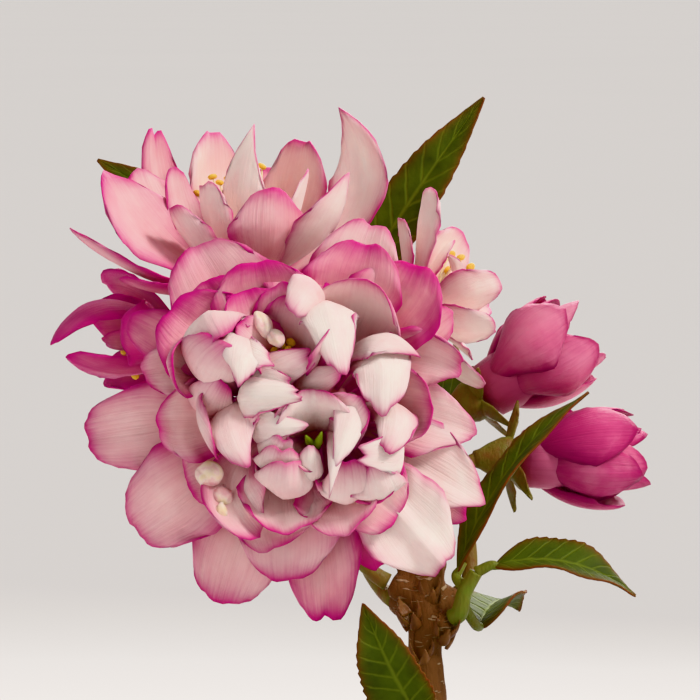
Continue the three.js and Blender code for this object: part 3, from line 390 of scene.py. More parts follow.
class Value:
    """A shader value that adds Math nodes when it is used in an expression."""

    def __init__(self, graph: "Graph", socket: bpy.types.NodeSocket) -> None:
        """Wraps an output socket.

        Args:
            graph: The graph that the socket is in.
            socket: The output socket.
        """
        self.graph = graph
        self.socket = socket

    __add__ = joined("ADD")
    __radd__ = joined("ADD", swapped=True)
    __sub__ = joined("SUBTRACT")
    __rsub__ = joined("SUBTRACT", swapped=True)
    __mul__ = joined("MULTIPLY")
    __truediv__ = joined("DIVIDE")
    __pow__ = joined("POWER")

    def fade(self) -> "Value":
        """Returns 1 where the value is 0, and less the larger it is."""
        return self.graph.math("POWER", 2.718, 0 - self)

    def within(self, low: float, high: float) -> "Value":
        """Returns how far the value is from low to high, from 0 to 1."""
        inputs = {"Value": self, "From Min": low, "From Max": high}
        return self.graph.node("ShaderNodeMapRange", {"clamp": True}, inputs)


class Graph:
    """The node tree of one material."""

    def __init__(self, name: str) -> None:
        """Starts a material with only its output node.

        Args:
            name: The material's name.
        """
        self.material = bpy.data.materials.new(name)
        self.material.use_nodes = True
        self.tree = self.material.node_tree
        self.tree.nodes.clear()
        self.output = self.tree.nodes.new("ShaderNodeOutputMaterial")

    def node(
        self, kind: str, settings: dict | None = None, inputs: dict | None = None, output: int | str = 0,
    ) -> Value:
        """Adds a node.

        Args:
            kind: The node's type.
            settings: What is set on the node itself. A ramp takes its stops, each a place and a colour.
            inputs: A value or a link for each named or numbered input.
            output: The output to return.

        Returns:
            That output.
        """
        node = self.tree.nodes.new(kind)
        for name, value in (settings or {}).items():
            if name == "stops":
                self.set_stops(node.color_ramp, value)
            else:
                setattr(node, name, value)
        for name, value in (inputs or {}).items():
            if isinstance(value, Value):
                self.tree.links.new(value.socket, node.inputs[name])
            else:
                node.inputs[name].default_value = value
        return Value(self, node.outputs[output])

    @staticmethod
    def set_stops(ramp: bpy.types.ColorRamp, stops: list[tuple[float, Colour]]) -> None:
        """Gives a ramp its stops, each a place and a colour."""
        while len(ramp.elements) < len(stops):
            ramp.elements.new(1)
        for element, (place, colour) in zip(ramp.elements, stops):
            element.position = place
            element.color = (*colour, 1)

    def math(self, operation: str, *values: Value | float) -> Value:
        """Returns a Math node's result."""
        return self.node("ShaderNodeMath", {"operation": operation}, dict(enumerate(values)))

    def blend(self, start: Value | Colour, end: Value | Colour, share: Value | float) -> Value:
        """Mixes two colours.

        Args:
            start: The colour at share 0.
            end: The colour at share 1.
            share: How much of end to use.

        Returns:
            The mixed colour.
        """
        settings = {"data_type": "RGBA", "clamp_factor": True}
        sides = [side if isinstance(side, Value) else (*side, 1) for side in (start, end)]
        return self.node("ShaderNodeMix", settings, {0: share, 6: sides[0], 7: sides[1]}, output=2)

    def mark(self, name: str) -> Value:
        """Returns a mesh's mark."""
        return self.node("ShaderNodeAttribute", {"attribute_name": name}, output="Fac")

    def pattern(self) -> tuple[Value, Value]:
        """Returns the two coordinates of the piece's own uv map."""
        uv = self.node("ShaderNodeUVMap", {"uv_map": "pattern"})
        parts = [self.node("ShaderNodeSeparateXYZ", None, {0: uv}, output=axis) for axis in (0, 1)]
        return parts[0], parts[1]

    def vector(self, x: Value | float, y: Value | float, z: Value | float = 0.0) -> Value:
        """Returns a vector made of three values."""
        return self.node("ShaderNodeCombineXYZ", None, {0: x, 1: y, 2: z})

    def noise(self, at: Value, detail: float = 3.0, roughness: float = 0.55) -> Value:
        """Returns cloudy noise from about 0.2 to 0.8."""
        inputs = {"Vector": at, "Scale": 1.0, "Detail": detail, "Roughness": roughness}
        return self.node("ShaderNodeTexNoise", {"noise_dimensions": "3D"}, inputs)

    def grain(self, across: float, along: float | None = None, **settings: float) -> Value:
        """Returns noise whose grains have a size in millimetres across, and along z where that differs."""
        place = self.node("ShaderNodeTexCoord", output="Object")
        scale = [1 / (MILLIMETRE * size) for size in (across, across, along or across)]
        at = self.node("ShaderNodeVectorMath", {"operation": "MULTIPLY"}, {0: place, 1: scale})
        return self.noise(at, **settings)

    def surface(
        self, body: Value, roughness: Value, relief: Value, depth: float, constant: dict[str, object],
    ) -> bpy.types.Material:
        """Adds the shader and a relief in its surface.

        Args:
            body: The base colour.
            roughness: The roughness.
            relief: The height of the surface, from 0 to 1.
            depth: How deep that relief is, in millimetres.
            constant: What is the same all over, by socket.

        Returns:
            The finished material.
        """
        height = {"Strength": 1.0, "Distance": depth * MILLIMETRE, "Height": relief}
        bumped = self.node("ShaderNodeBump", None, height)
        varying = {"Base Color": body, "Roughness": roughness, "Normal": bumped}
        shader = self.node("ShaderNodeBsdfPrincipled", None, {**constant, **varying})
        self.tree.links.new(shader.socket, self.output.inputs["Surface"])
        return self.material


def glow(weight: float, depth: float, tint: Colour) -> dict[str, object]:
    """Gives the shader's constants for light that scatters inside soft plant matter.

    Args:
        weight: How much of the light goes in.
        depth: How far it spreads, in millimetres.
        tint: How that distance varies by colour.

    Returns:
        Values by socket.
    """
    reach = {"Subsurface Scale": depth * MILLIMETRE, "Subsurface Radius": tint}
    return {"Subsurface Weight": weight, **reach}


@dataclass(frozen=True)
class PetalFinish:
    """Soft petal skin with a dark rim and fine veins, pale at a low tone and deep pink at a high one.

    Attributes:
        name: The material's name.
        pale: The colour at tone 0.
        blush: The colour at tone 0.5.
        deep: The colour at tone 1.
        claw: The painted shade that the petal deepens to towards its claw, standing in for the salmon glow
            and shade in the bloom's depth.
        rim: The colour of its edge and veins.
        rim_width: How far the rim's colour reaches in, in millimetres.
        rim_growth: How much further it reaches in where the tone is high.
        vein_strength: How much of the rim's colour the veins take.
    """

    name: str
    pale: Colour
    blush: Colour
    deep: Colour
    claw: Colour
    rim: Colour
    rim_width: float = 0.3
    rim_growth: float = 4.0
    vein_strength: float = 0.3

    def material(self) -> bpy.types.Material:
        """Builds the petal's material."""
        graph = Graph(self.name)
        across, along = graph.pattern()
        edge, tone, pick, reach = (graph.mark(name) for name in ("edge", "tone", "pick", "wash"))
        fibres = graph.vector(across * 34 + pick * 61, along * 1.3, pick * 17)
        veins = graph.noise(fibres, detail=4, roughness=0.7)
        cloud = graph.noise(graph.vector(across * 2.2 + pick * 23, along * 2.6, pick * 31), detail=4)
        shade = tone + (cloud - 0.54) * 0.6
        body = graph.blend(self.pale, self.blush, shade * 1.6)
        body = graph.blend(body, self.deep, shade * 2 - 1)
        # Painted shade: the salmon glow and shade of the bloom's depth, painted towards each petal's claw.
        body = graph.blend(body, self.claw, (0.75 - along).within(0, 0.7) * (0.26 + tone * 0.55))
        body = graph.blend(body, self.deep, veins.within(0.48, 0.75) * along * tone * self.vein_strength)
        wash = (edge / reach).fade() * (0.45 + cloud.within(0.36, 0.62) * 0.75)
        body = graph.blend(body, self.deep, wash * (0.3 + tone * 1.5))
        band = (0.5 + tone * self.rim_growth) * self.rim_width * (0.1 + veins * 1.8)
        line = ((edge / band) ** 1.3).fade() * (0.7 + cloud.within(0.3, 0.55) * 0.3)
        body = graph.blend(body, self.rim, line * (0.86 + tone * 0.14))
        constant = {
            "Sheen Weight": 0.08, "Sheen Roughness": 0.4, "Specular IOR Level": 0.3,
            **glow(0.25, 0.4, (1.0, 0.8, 0.75)),
        }
        return graph.surface(body, 0.44 + cloud * 0.2, veins * 0.7 + cloud * 0.5, 0.14, constant)


@dataclass(frozen=True)
class KnobFinish:
    """Waxy cream skin of the stunted petals, with a green-yellow tint in patches."""

    name: str = "knob_skin"
    cream: Colour = linear(246, 226, 214)
    tint: Colour = linear(234, 212, 156)
    blush: Colour = linear(222, 146, 160)

    def material(self) -> bpy.types.Material:
        """Builds the knob's material."""
        graph = Graph(self.name)
        cloud = graph.grain(1.4, detail=3)
        grain = graph.grain(0.3, detail=3)
        body = graph.blend(self.cream, self.tint, cloud.within(0.5, 0.7) * 0.7)
        body = graph.blend(body, self.blush, (0.54 - cloud).within(0, 0.2) * 0.7)
        constant = {"Specular IOR Level": 0.4, **glow(0.35, 0.8, (1.0, 0.8, 0.6))}
        return graph.surface(body, 0.4 + grain * 0.2, grain, 0.05, constant)


@dataclass(frozen=True)
class LeafFinish:
    """Satin leaf with side veins, a mottled skin and a reddish edge."""

    name: str = "leaf_skin"
    body: Colour = linear(74, 92, 22)
    dark: Colour = linear(42, 56, 10)
    vein: Colour = linear(124, 138, 54)
    edge: Colour = linear(118, 60, 30)

    def material(self) -> bpy.types.Material:
        """Builds the leaf's material."""
        graph = Graph(self.name)
        across, along = graph.pattern()
        edge, pick = graph.mark("edge"), graph.mark("pick")
        side = graph.math("ABSOLUTE", across * 2 - 1)
        cloud = graph.grain(2.4, detail=4)
        grain = graph.grain(0.5, detail=3)
        wave = graph.math("PINGPONG", (along - side * VEIN_SLANT + pick * 0.03) * SIDE_VEINS, 0.5)
        ribs = (0.1 - wave + (1 - side) * 0.04).within(0, 0.1)
        midrib = (0.11 - side).within(0, 0.09)
        veins = graph.math("MAXIMUM", ribs * 0.7, midrib)
        body = graph.blend(self.dark, self.body, cloud.within(0.3, 0.68))
        body = graph.blend(body, self.vein, veins * 0.55 + grain * 0.12)
        body = graph.blend(body, self.edge, (edge * 3.6).fade() * (0.4 + cloud))
        constant = {"Specular IOR Level": 0.25, **glow(0.12, 0.5, (0.6, 1.0, 0.2))}
        relief = 0.6 - veins * 0.5 + grain * 0.3
        return graph.surface(body, 0.5 + cloud * 0.2 + grain * 0.1, relief, 0.16, constant)


@dataclass(frozen=True)
class StalkFinish:
    """Green skin of calyx, flower stalk or stem, flushed with red-brown."""

    name: str
    green: Colour = linear(116, 124, 56)
    flush: Colour = linear(126, 72, 46)
    flushed: float = 0.5

    def material(self) -> bpy.types.Material:
        """Builds the stalk's material."""
        graph = Graph(self.name)
        cloud = graph.grain(1.6, detail=4)
        grain = graph.grain(0.25, 0.9, detail=3)
        body = graph.blend(self.green, self.flush, cloud.within(0.3, 0.7) * self.flushed + grain * 0.2)
        constant = {"Specular IOR Level": 0.4, **glow(0.15, 0.6, (0.8, 1.0, 0.4))}
        return graph.surface(body, 0.4 + grain * 0.25, grain, 0.12, constant)


@dataclass(frozen=True)
class StamenFinish:
    """Pale thread and yellow pollen, told apart by the mark pollen."""

    name: str = "stamen_skin"
    thread: Colour = linear(240, 226, 188)
    pollen: Colour = linear(238, 200, 92)
    ripe: Colour = linear(214, 156, 60)

    def material(self) -> bpy.types.Material:
        """Builds the stamen's material."""
        graph = Graph(self.name)
        grain = graph.grain(0.12, detail=3)
        yellow = graph.blend(self.pollen, self.ripe, grain.within(0.45, 0.7) * 0.6)
        body = graph.blend(self.thread, yellow, graph.mark("pollen"))
        constant = {"Specular IOR Level": 0.3, **glow(0.3, 0.5, (1.0, 0.9, 0.5))}
        return graph.surface(body, 0.5 + grain * 0.3, grain, 0.05, constant)


@dataclass(frozen=True)
class BarkFinish:
    """Brown-grey bark with pale lenticels, rougher and greyer where the mark age is high, on thick wood."""

    name: str = "almond_bark"
    twig: Colour = linear(112, 76, 48)
    brown: Colour = linear(84, 62, 48)
    grey: Colour = linear(142, 130, 118)
    crack: Colour = linear(38, 28, 22)
    lenticel: Colour = linear(176, 152, 122)

    def material(self) -> bpy.types.Material:
        """Builds the bark's material."""
        graph = Graph(self.name)
        age = graph.mark("age")
        plates = graph.grain(3.2, 8.0, detail=5, roughness=0.65)
        fibres = graph.grain(0.5, 2.6, detail=4, roughness=0.65)
        spots = graph.grain(1.3, 0.36, detail=1)
        old = graph.blend(self.brown, self.grey, plates.within(0.38, 0.64))
        body = graph.blend(self.twig, old, age.within(0.05, 0.5))
        cracks = (0.46 - fibres).within(0, 0.12) * (0.25 + age * 0.75)
        body = graph.blend(body, self.crack, cracks * 0.8)
        dots = spots.within(0.62, 0.67)
        body = graph.blend(body, self.lenticel, dots * 0.75)
        relief = fibres * 0.6 + plates * 0.5 + dots * 0.25 - cracks * 0.4
        return graph.surface(body, 0.62 + fibres * 0.3, relief, 0.35, {"Specular IOR Level": 0.3})


@dataclass(frozen=True)
class StonewareFinish:
    """Unglazed brown clay with fine dark and pale grains."""

    name: str = "tray_stoneware"
    clay: Colour = linear(104, 72, 54)
    burnt: Colour = linear(70, 48, 38)
    grain: Colour = linear(150, 118, 92)

    def material(self) -> bpy.types.Material:
        """Builds the tray's material."""
        graph = Graph(self.name)
        cloud = graph.grain(16, 9, detail=5, roughness=0.6)
        grit = graph.grain(0.55, detail=2)
        drag = graph.grain(9, 0.7, detail=3)
        body = graph.blend(self.burnt, self.clay, cloud.within(0.34, 0.62))
        body = graph.blend(body, self.grain, grit.within(0.62, 0.7) * 0.5)
        body = graph.blend(body, self.burnt, (0.38 - grit).within(0, 0.06) * 0.6)
        relief = grit * 0.4 + drag * 0.35 + cloud * 0.2
        return graph.surface(body, 0.5 + grit * 0.3, relief, 0.25, {"Specular IOR Level": 0.4})


@dataclass(frozen=True)
class SoilFinish:
    """Damp crumbly soil."""

    name: str = "potting_soil"
    dark: Colour = linear(46, 34, 26)
    light: Colour = linear(98, 76, 56)

    def material(self) -> bpy.types.Material:
        """Builds the soil's material."""
        graph = Graph(self.name)
        crumbs = graph.grain(1.1, detail=6, roughness=0.7)
        clods = graph.grain(5, detail=4)
        body = graph.blend(self.dark, self.light, crumbs.within(0.36, 0.68) * 0.7 + clods * 0.2)
        return graph.surface(body, 0.78 + crumbs * 0.2, crumbs, 0.8, {"Specular IOR Level": 0.25})


@dataclass(frozen=True)
class GritFinish:
    """Small stones, each of its own shade by the mark pick."""

    name: str = "top_grit"

    def material(self) -> bpy.types.Material:
        """Builds the grit's material."""
        graph = Graph(self.name)
        stops = [
            (0.0, linear(92, 72, 54)), (0.25, linear(150, 124, 96)), (0.5, linear(120, 112, 104)),
            (0.75, linear(178, 156, 128)), (1.0, linear(74, 62, 54)),
        ]
        shade = graph.node("ShaderNodeValToRGB", {"stops": stops}, {"Fac": graph.mark("pick")})
        grain = graph.grain(0.4, detail=4)
        body = graph.blend(shade, linear(50, 40, 32), (0.5 - grain).within(0, 0.25) * 0.6)
        return graph.surface(body, 0.7 + grain * 0.25, grain, 0.2, {"Specular IOR Level": 0.3})


@dataclass(frozen=True)
class MossFinish:
    """Soft green moss, yellower in patches."""

    name: str = "moss"
    deep: Colour = linear(44, 62, 18)
    fresh: Colour = linear(122, 140, 48)

    def material(self) -> bpy.types.Material:
        """Builds the moss's material."""
        graph = Graph(self.name)
        tufts = graph.grain(0.7, detail=5, roughness=0.75)
        cloud = graph.grain(6, detail=3)
        body = graph.blend(self.deep, self.fresh, tufts.within(0.36, 0.66) * 0.75 + cloud * 0.25)
        return graph.surface(body, 0.85 + tufts * 0.1, tufts, 0.8, {"Sheen Weight": 0.3})


@dataclass(frozen=True)
class FloorFinish:
    """Plain pale floor."""

    name: str = "studio_floor"
    paint: Colour = (0.78, 0.77, 0.76)

    def material(self) -> bpy.types.Material:
        """Builds the floor's material."""
        graph = Graph(self.name)
        cloud = graph.grain(900, detail=2)
        body = graph.blend(self.paint, (0.74, 0.73, 0.72), cloud * 0.5)
        return graph.surface(body, 0.75 + cloud * 0.1, cloud, 0.01, {"Specular IOR Level": 0.15})


class Finish(Enum):
    """The finishes of the tree and its tray."""

    PETAL = PetalFinish(
        "petal_skin", pale=linear(254, 240, 232), blush=linear(238, 160, 172), deep=linear(196, 72, 132),
        # The claw colour is painted shade: the salmon glow and shade deep in the bloom.
        claw=linear(224, 124, 136), rim=linear(200, 18, 126), rim_width=0.42, vein_strength=0.5,
    )
    STUB = KnobFinish()
    BUD_PETAL = PetalFinish(
        "bud_skin", pale=linear(246, 190, 206), blush=linear(224, 92, 146), deep=linear(176, 30, 100),
        # The claw colour is painted shade: the dark glow deep in the bud.
        claw=linear(152, 26, 82), rim=linear(150, 12, 84), rim_width=0.45, rim_growth=0.9, vein_strength=0.6,
    )
    LEAF = LeafFinish()
    CALYX = StalkFinish("calyx_skin", flushed=0.75)
    STEM = StalkFinish("stem_skin", green=linear(104, 126, 42), flushed=0.3)
    PISTIL = StalkFinish("pistil_skin", green=linear(120, 150, 30), flushed=0.0)
    STAMEN = StamenFinish()
    BARK = BarkFinish()
    SCALE = StalkFinish("scale_skin", green=linear(132, 92, 56), flush=linear(88, 50, 34), flushed=0.9)
    STONEWARE = StonewareFinish()
    SOIL = SoilFinish()
    GRIT = GritFinish()
    MOSS = MossFinish()
    FLOOR = FloorFinish()

    def material(self) -> bpy.types.Material:
        """Returns the finish's material, built on first use."""
        made = bpy.data.materials.get(self.value.name)
        return made or self.value.material()


# Thin blades: petals, sepals and leaves

# How wide a petal's claw is beside its blade, and the shares of a spine's length at which it is sampled
CLAW_SHARE = 0.16
SPINE_SHARES = np.linspace(0, 1.1, 23)


class Blank:
    """A flat closed sheet, modelled once, that every petal, sepal or leaf is bent from."""

    def __init__(self, columns: int, rows: int) -> None:
        """Models the sheet from a grid that gets a wall.

        Args:
            columns: Faces across it.
            rows: Faces along it.
        """
        bpy.ops.mesh.primitive_grid_add(x_subdivisions=columns, y_subdivisions=rows, size=2)
        sheet = bpy.context.object
        Workshop.apply(sheet, "SOLIDIFY", thickness=2.0, offset=0.0)
        shell = Workshop.shell_of(sheet)
        self.u = -shell.points[:, 0]
        self.v = (shell.points[:, 1] + 1) / 2
        self.side = shell.points[:, 2]
        self.quads = shell.quads


@dataclass
class Blade:
    """A thin blade over u, from edge to edge, and v, from foot to tip."""

    length: float
    width: float
    pick: float = 0.5
    tone: float = 0.0

    def half(self, v: Array) -> Array:
        """Returns half the width at v."""
        raise NotImplementedError

    def surface(self, u: Array, v: Array) -> Array:
        """Returns the points of the blade's middle surface."""
        raise NotImplementedError

    def thickness(self, v: Array, edge: Array) -> Array:
        """Returns half the blade's thickness, from the place along it and the distance from its edge."""
        return 0.05 + 0.09 * ease(0, 0.9, edge) + 0.12 * (1 - ease(0, 0.25, v))

    def shell(self, blank: Blank) -> Shell:
        """Bends a blank to the blade's form.

        Args:
            blank: The flat sheet.

        Returns:
            The closed shell, marked with the distance from its edge, its tone and its pick.
        """
        u, v, step = blank.u, blank.v, 0.004
        across = self.surface(u + step, v) - self.surface(u - step, v)
        along = self.surface(u, v + step) - self.surface(u, v - step)
        normal = np.cross(along, across)
        normal /= np.maximum(np.linalg.norm(normal, axis=1), 1e-9)[:, None]
        edge = np.minimum(self.half(v) * (1 - np.abs(u)), self.length * (1 - v))
        depth = self.thickness(v, edge) * blank.side
        uv = np.stack([(u + 1) / 2, v], axis=1)
        shell = Shell(self.surface(u, v) + normal * depth[:, None], blank.quads, uv=uv, marks={"edge": edge})
        return shell.marked(tone=self.tone, pick=self.pick, wash=self.width * (0.1 + 0.14 * self.tone))


@dataclass
class Petal(Blade):
    """A petal along a spine, in millimetres.

    Attributes:
        cup: The angle by which an edge turns up, in radians.
        roll: Its turn about its own spine, in degrees.
        curl: The angle by which its tip turns towards its inner face, in degrees.
        ruffle: How strongly its edge waves.
        crease: How deep the fold along its middle is.
        notch: How deep its tip is notched.
        point: How sharp its tip is, from 0 to 1.
        phase: Where its waves start.
    """

    cup: float = 0.5
    roll: float = 0.0
    curl: float = 0.0
    ruffle: float = 0.6
    crease: float = 0.0
    notch: float = 0.02
    point: float = 0.15
    phase: tuple[float, float, float] = (0.0, 0.0, 0.0)

    def spine(self) -> tuple[Array, Array, Array]:
        """Returns the spine's points, the way across and the way the inner face looks, at even steps."""
        raise NotImplementedError

    def half(self, v: Array) -> Array:
        """Returns half the width at v: a narrow claw, broad past the middle and rounded at the tip."""
        fine = 0.022 * np.sin(19 * v + self.phase[0]) + 0.011 * np.sin(37 * v + self.phase[2])
        ragged = 1 + self.ruffle * fine + 0.03 * np.sin(7 * v + self.phase[1])
        body = CLAW_SHARE + (1 - CLAW_SHARE) * np.sin(math.pi * (0.79 * np.clip(v, 0, 1.02)) ** 1.28)
        return 0.5 * self.width * body * ragged

    def surface(self, u: Array, v: Array) -> Array:
        """Returns the points of the petal's middle surface."""
        one, two, three = self.phase
        drop = mix(1 - np.sqrt(1 - 0.985 * np.minimum(np.abs(u), 1) ** 2), np.abs(u) ** 1.1, self.point)
        along = v - (0.28 + 0.12 * self.point) * drop * v**2 - self.notch * np.exp(-((u / 0.2) ** 2)) * v**6
        ragged = 0.013 * np.sin(8 * u + one) + 0.006 * np.sin(19 * u + two)
        along = along + self.ruffle * ragged * v**4 + 0.02 * math.sin(two) * u * v**2
        place, across, facing = self.frame_at(along)
        roll = math.radians(self.roll)
        across, facing = (
            math.cos(roll) * across + math.sin(roll) * facing,
            math.cos(roll) * facing - math.sin(roll) * across,
        )
        half = self.half(v)
        cup = self.cup * (1 + 0.25 * np.sin(2 * v + two) + 0.2 * u * math.sin(three))
        side = half * np.sin(cup * u) / cup
        height = half * (1 - np.cos(cup * u)) / cup
        height = height + self.ruffle * self.width * self.waves(u, v)
        lumps = 1 + 0.35 * np.sin(17 * v + one) * (self.crease < 0)
        fold = np.exp(-((u / 0.16) ** 2)) * ease(0, 0.5, v)
        height = height - self.crease * lumps * self.width * 0.1 * fold
        return place + across * side[:, None] + facing * height[:, None]

    def frame_at(self, share: Array) -> tuple[Array, Array, Array]:
        """Returns the spine's point, across and facing at shares of its length."""
        rows = self.spine()
        return tuple(
            np.stack([np.interp(share, SPINE_SHARES, row[:, k]) for k in range(3)], axis=1) for row in rows
        )

    def waves(self, u: Array, v: Array) -> Array:
        """Returns how far the blade waves up, as a share of its width."""
        one, two, three = self.phase
        edge = np.abs(u) ** 1.7 * ease(0.1, 0.7, v)
        frill = 0.036 * edge * np.sin(8 * v + one + 2.4 * np.sign(u)) + 0.02 * edge * np.sin(23 * v + two - u)
        hem = np.abs(u) ** 4 * ease(0.2, 0.6, v)
        frill = frill + 0.01 * hem * np.sin(41 * v + three + 1.7 * np.sign(u))
        crown = 0.034 * v**5 * np.sin(4.5 * u + three)
        sway = 0.03 * np.sin(3.1 * v + 2.2 * u + two) * ease(0.1, 0.5, v)
        lip = -0.04 * (np.abs(u) ** 6 * ease(0.3, 0.8, v) + v**9)
        return frill + crown + sway + lip


@dataclass
class LiftedPetal(Petal):
    """A petal in the frame of its bloom, whose axis is z.

    Attributes:
        root: Where its claw starts.
        azimuth: The way it points round the axis, in degrees.
        lift: Its angle above the bloom's plane at its claw and at its tip, in degrees.
    """

    root: Array = field(default_factory=lambda: np.zeros(3))
    azimuth: float = 0.0
    lift: tuple[float, float] = (0.0, 0.0)

    def spine(self) -> tuple[Array, Array, Array]:
        """Returns the spine's points, the way across and the way the inner face looks, at even steps."""
        radial = around(1, self.azimuth, 0)
        tangent = np.array([-radial[1], radial[0], 0])
        share = SPINE_SHARES
        curl = self.curl * ease(0.55, 1.05, share)
        lift = np.radians(mix(self.lift[0], self.lift[1], share) + curl)[:, None]
        ahead = np.cos(lift) * radial + np.sin(lift) * UP
        steps = (ahead[1:] + ahead[:-1]) * 0.5 * self.length * (share[1] - share[0])
        place = self.root + np.vstack([np.zeros(3), np.cumsum(steps, axis=0)])
        facing = -np.sin(lift) * radial + np.cos(lift) * UP
        return place, np.repeat(tangent[None, :], len(share), axis=0), facing


@dataclass
class ArchedPetal(Petal):
    """A petal whose spine passes through three points, with its inner face towards a heart.

    Attributes:
        knots: The spine's foot, middle and tip.
        heart: The point that its inner face looks at.
    """

    knots: tuple[Array, Array, Array] = (np.zeros(3), np.zeros(3), np.zeros(3))
    heart: Array = field(default_factory=lambda: np.zeros(3))

    def spine(self) -> tuple[Array, Array, Array]:
        """Returns the spine's points, the way across and the way the inner face looks, at even steps."""
        foot, middle, tip = self.knots
        pull = 2 * middle - (foot + tip) / 2
        share = SPINE_SHARES[:, None]
        line = (1 - share) ** 2 * foot + 2 * share * (1 - share) * pull + share**2 * tip
        ahead = (1 - share) * (pull - foot) + share * (tip - pull)
        ahead = ahead / np.linalg.norm(ahead, axis=1)[:, None]
        across = unit(np.cross(tip - foot, self.heart - middle))
        across = across - (ahead @ across)[:, None] * ahead
        across = across / np.linalg.norm(across, axis=1)[:, None]
        facing = np.cross(across, ahead)
        turn = np.radians(self.curl * ease(0.5, 1.05, share))
        turned = np.cos(turn) * ahead + np.sin(turn) * facing
        facing = np.cos(turn) * facing - np.sin(turn) * ahead
        strides = np.linalg.norm(np.diff(line, axis=0), axis=1)[:, None] * (turned[1:] + turned[:-1]) / 2
        return foot + np.vstack([np.zeros(3), np.cumsum(strides, axis=0)]), across, facing


class Sepal(LiftedPetal):
    """A pointed green lobe of the calyx."""

    def half(self, v: Array) -> Array:
        """Returns half the width at v: broad at the foot and pointed at the tip."""
        return 0.5 * self.width * (1.02 - np.clip(v, 0, 1)) ** 0.7 * (0.8 + 0.5 * v)

    def thickness(self, v: Array, edge: Array) -> Array:
        """Returns half the sepal's thickness."""
        return 0.06 + 0.12 * ease(0, 0.8, edge)


@dataclass
class Leaf(Blade):
    """A toothed leaf that folds up along its midrib and arches towards its upper face.

    Attributes:
        foot: Where the blade starts.
        tip: Where it ends.
        face: The way its upper face looks.
        arch: How high its middle arches.
        teeth: Teeth along each edge.
        fold: How steeply its halves fold up.
        phase: Where its waves start.
    """

    foot: Array = field(default_factory=lambda: np.zeros(3))
    tip: Array = field(default_factory=lambda: np.ones(3))
    face: Array = field(default_factory=lambda: UP)
    arch: float = 1.0
    teeth: int = 15
    fold: float = 0.42
    phase: float = 0.0

    def half(self, v: Array) -> Array:
        """Returns half the width at v, with its teeth."""
        body = np.sin(math.pi * np.clip(v, 0.0004, 0.9996) ** 0.75) ** 0.9
        tooth = (v * self.teeth) % 1.0
        return 0.5 * self.width * body * (0.97 + 0.075 * tooth * ease(0.05, 0.2, v)) + 0.12

    def surface(self, u: Array, v: Array) -> Array:
        """Returns the points of the leaf's middle surface."""
        axis = self.tip - self.foot
        across = unit(np.cross(axis, self.face))
        normal = unit(np.cross(across, axis))
        half = self.half(v)
        side_rib = np.cos(2 * math.pi * SIDE_VEINS * (v - VEIN_SLANT * np.abs(u)))
        height = 4 * self.arch * v * (1 - v)
        height = height + self.fold * np.maximum(half - 0.5, 0) * np.abs(u) ** 1.35
        height = height + 0.05 * self.width * np.sin(13 * v + self.phase + 1.7 * np.sign(u)) * np.abs(u) ** 2
        height = height + 0.012 * self.width * side_rib * (1 - np.abs(u)) * ease(0.05, 0.2, v) * (1 - v)
        height = height - 0.1 * np.exp(-((u / 0.1) ** 2))
        middle = self.foot + axis * v[:, None]
        return middle + across * (u * half)[:, None] + normal * height[:, None]

    def thickness(self, v: Array, edge: Array) -> Array:
        """Returns half the leaf's thickness."""
        return 0.07 + 0.12 * ease(0, 0.8, edge)


# Blooms


class Kind(Enum):
    """How far a bloom has opened."""

    FRONT = "front"
    OPEN = "open"
    GOBLET = "goblet"
    SMALL = "small"
    BUD = "bud"


class Traits(NamedTuple):
    """What the outer or the inner petal of a spiral is like."""

    reach: float
    width: float
    lift0: float
    lift1: float
    cup: float
    root_out: float
    root_up: float


@dataclass(frozen=True)
class Spiral:
    """Petals in a spiral from the outside in.

    Attributes:
        count: How many petals the solids have.
        outer: The outer petal.
        inner: The inner petal.
        extra: How many finer petals stand between them.
    """

    count: int
    outer: Traits
    inner: Traits
    extra: int


# How the blooms and buds grow that aren't charted petal by petal
SPIRALS = {
    Kind.OPEN: Spiral(16, Traits(16.4, 9, 8, -2, 0.4, 2, 0.8), Traits(6.6, 5.2, 74, 84, 1, 0.8, 3), 14),
    Kind.GOBLET: Spiral(14, Traits(18, 8, 18, 40, 0.5, 2, 0.8), Traits(12.4, 5.6, 66, 84, 0.9, 0.8, 3), 12),
    Kind.BUD: Spiral(8, Traits(12.2, 8, 30, 104, 0.9, 1.6, 0.8), Traits(11, 6.4, 56, 110, 1, 0.8, 2.2), 5),
}

# The radius and the height of the body that the petals root in
CORES = {
    Kind.FRONT: (4.4, 4.0), Kind.OPEN: (3.4, 4.0), Kind.GOBLET: (3.2, 4.0), Kind.SMALL: (2.4, 3.2),
    Kind.BUD: (2.8, 6.5),
}


class Bunch(NamedTuple):
    """The stamens in a bloom's heart: how many, how far they spread and reach, and where they stand."""

    count: int
    spread: float
    reach: float
    middle: tuple[float, float] = (0.0, 0.0)


STAMENS = {
    Kind.FRONT: Bunch(5, 0.7, 4.6, (-0.9, 4.9)),
    Kind.OPEN: Bunch(12, 1.8, 5.6),
    Kind.GOBLET: Bunch(14, 2.6, 8.4),
    Kind.SMALL: Bunch(16, 1.8, 5.0),
}


class Heart(Enum):
    """The points that inner petals bend towards, as right, up and front in the picture."""

    FRONT = (0.0, 0.0, 12.0)
    LOWER = (1.4, -2.9, 7.5)
    UPPER = (-1.6, 5.8, 7.5)
    SIDE = (-6.6, 3.6, 8.0)
    HOOD = (1.4, 3.4, 4.0)
    BRIGHT = (5.4, 0.4, 3.0)
    TOP = (-3.6, 20.0, -9.0)
    TOP_SIDE = (-2.0, 18.0, 4.0)
    LEFT = (-17.0, 6.2, -9.0)
    RIGHT = (15.0, 12.0, -9.0)


class Spot(NamedTuple):
    """A point as seen in the picture: right, up and to the front of the middle of the front bloom."""

    right: float
    up: float
    front: float

    def place(self) -> Array:
        """Returns the point in the tree's frame."""
        return spray(self.right, self.up, -self.front)


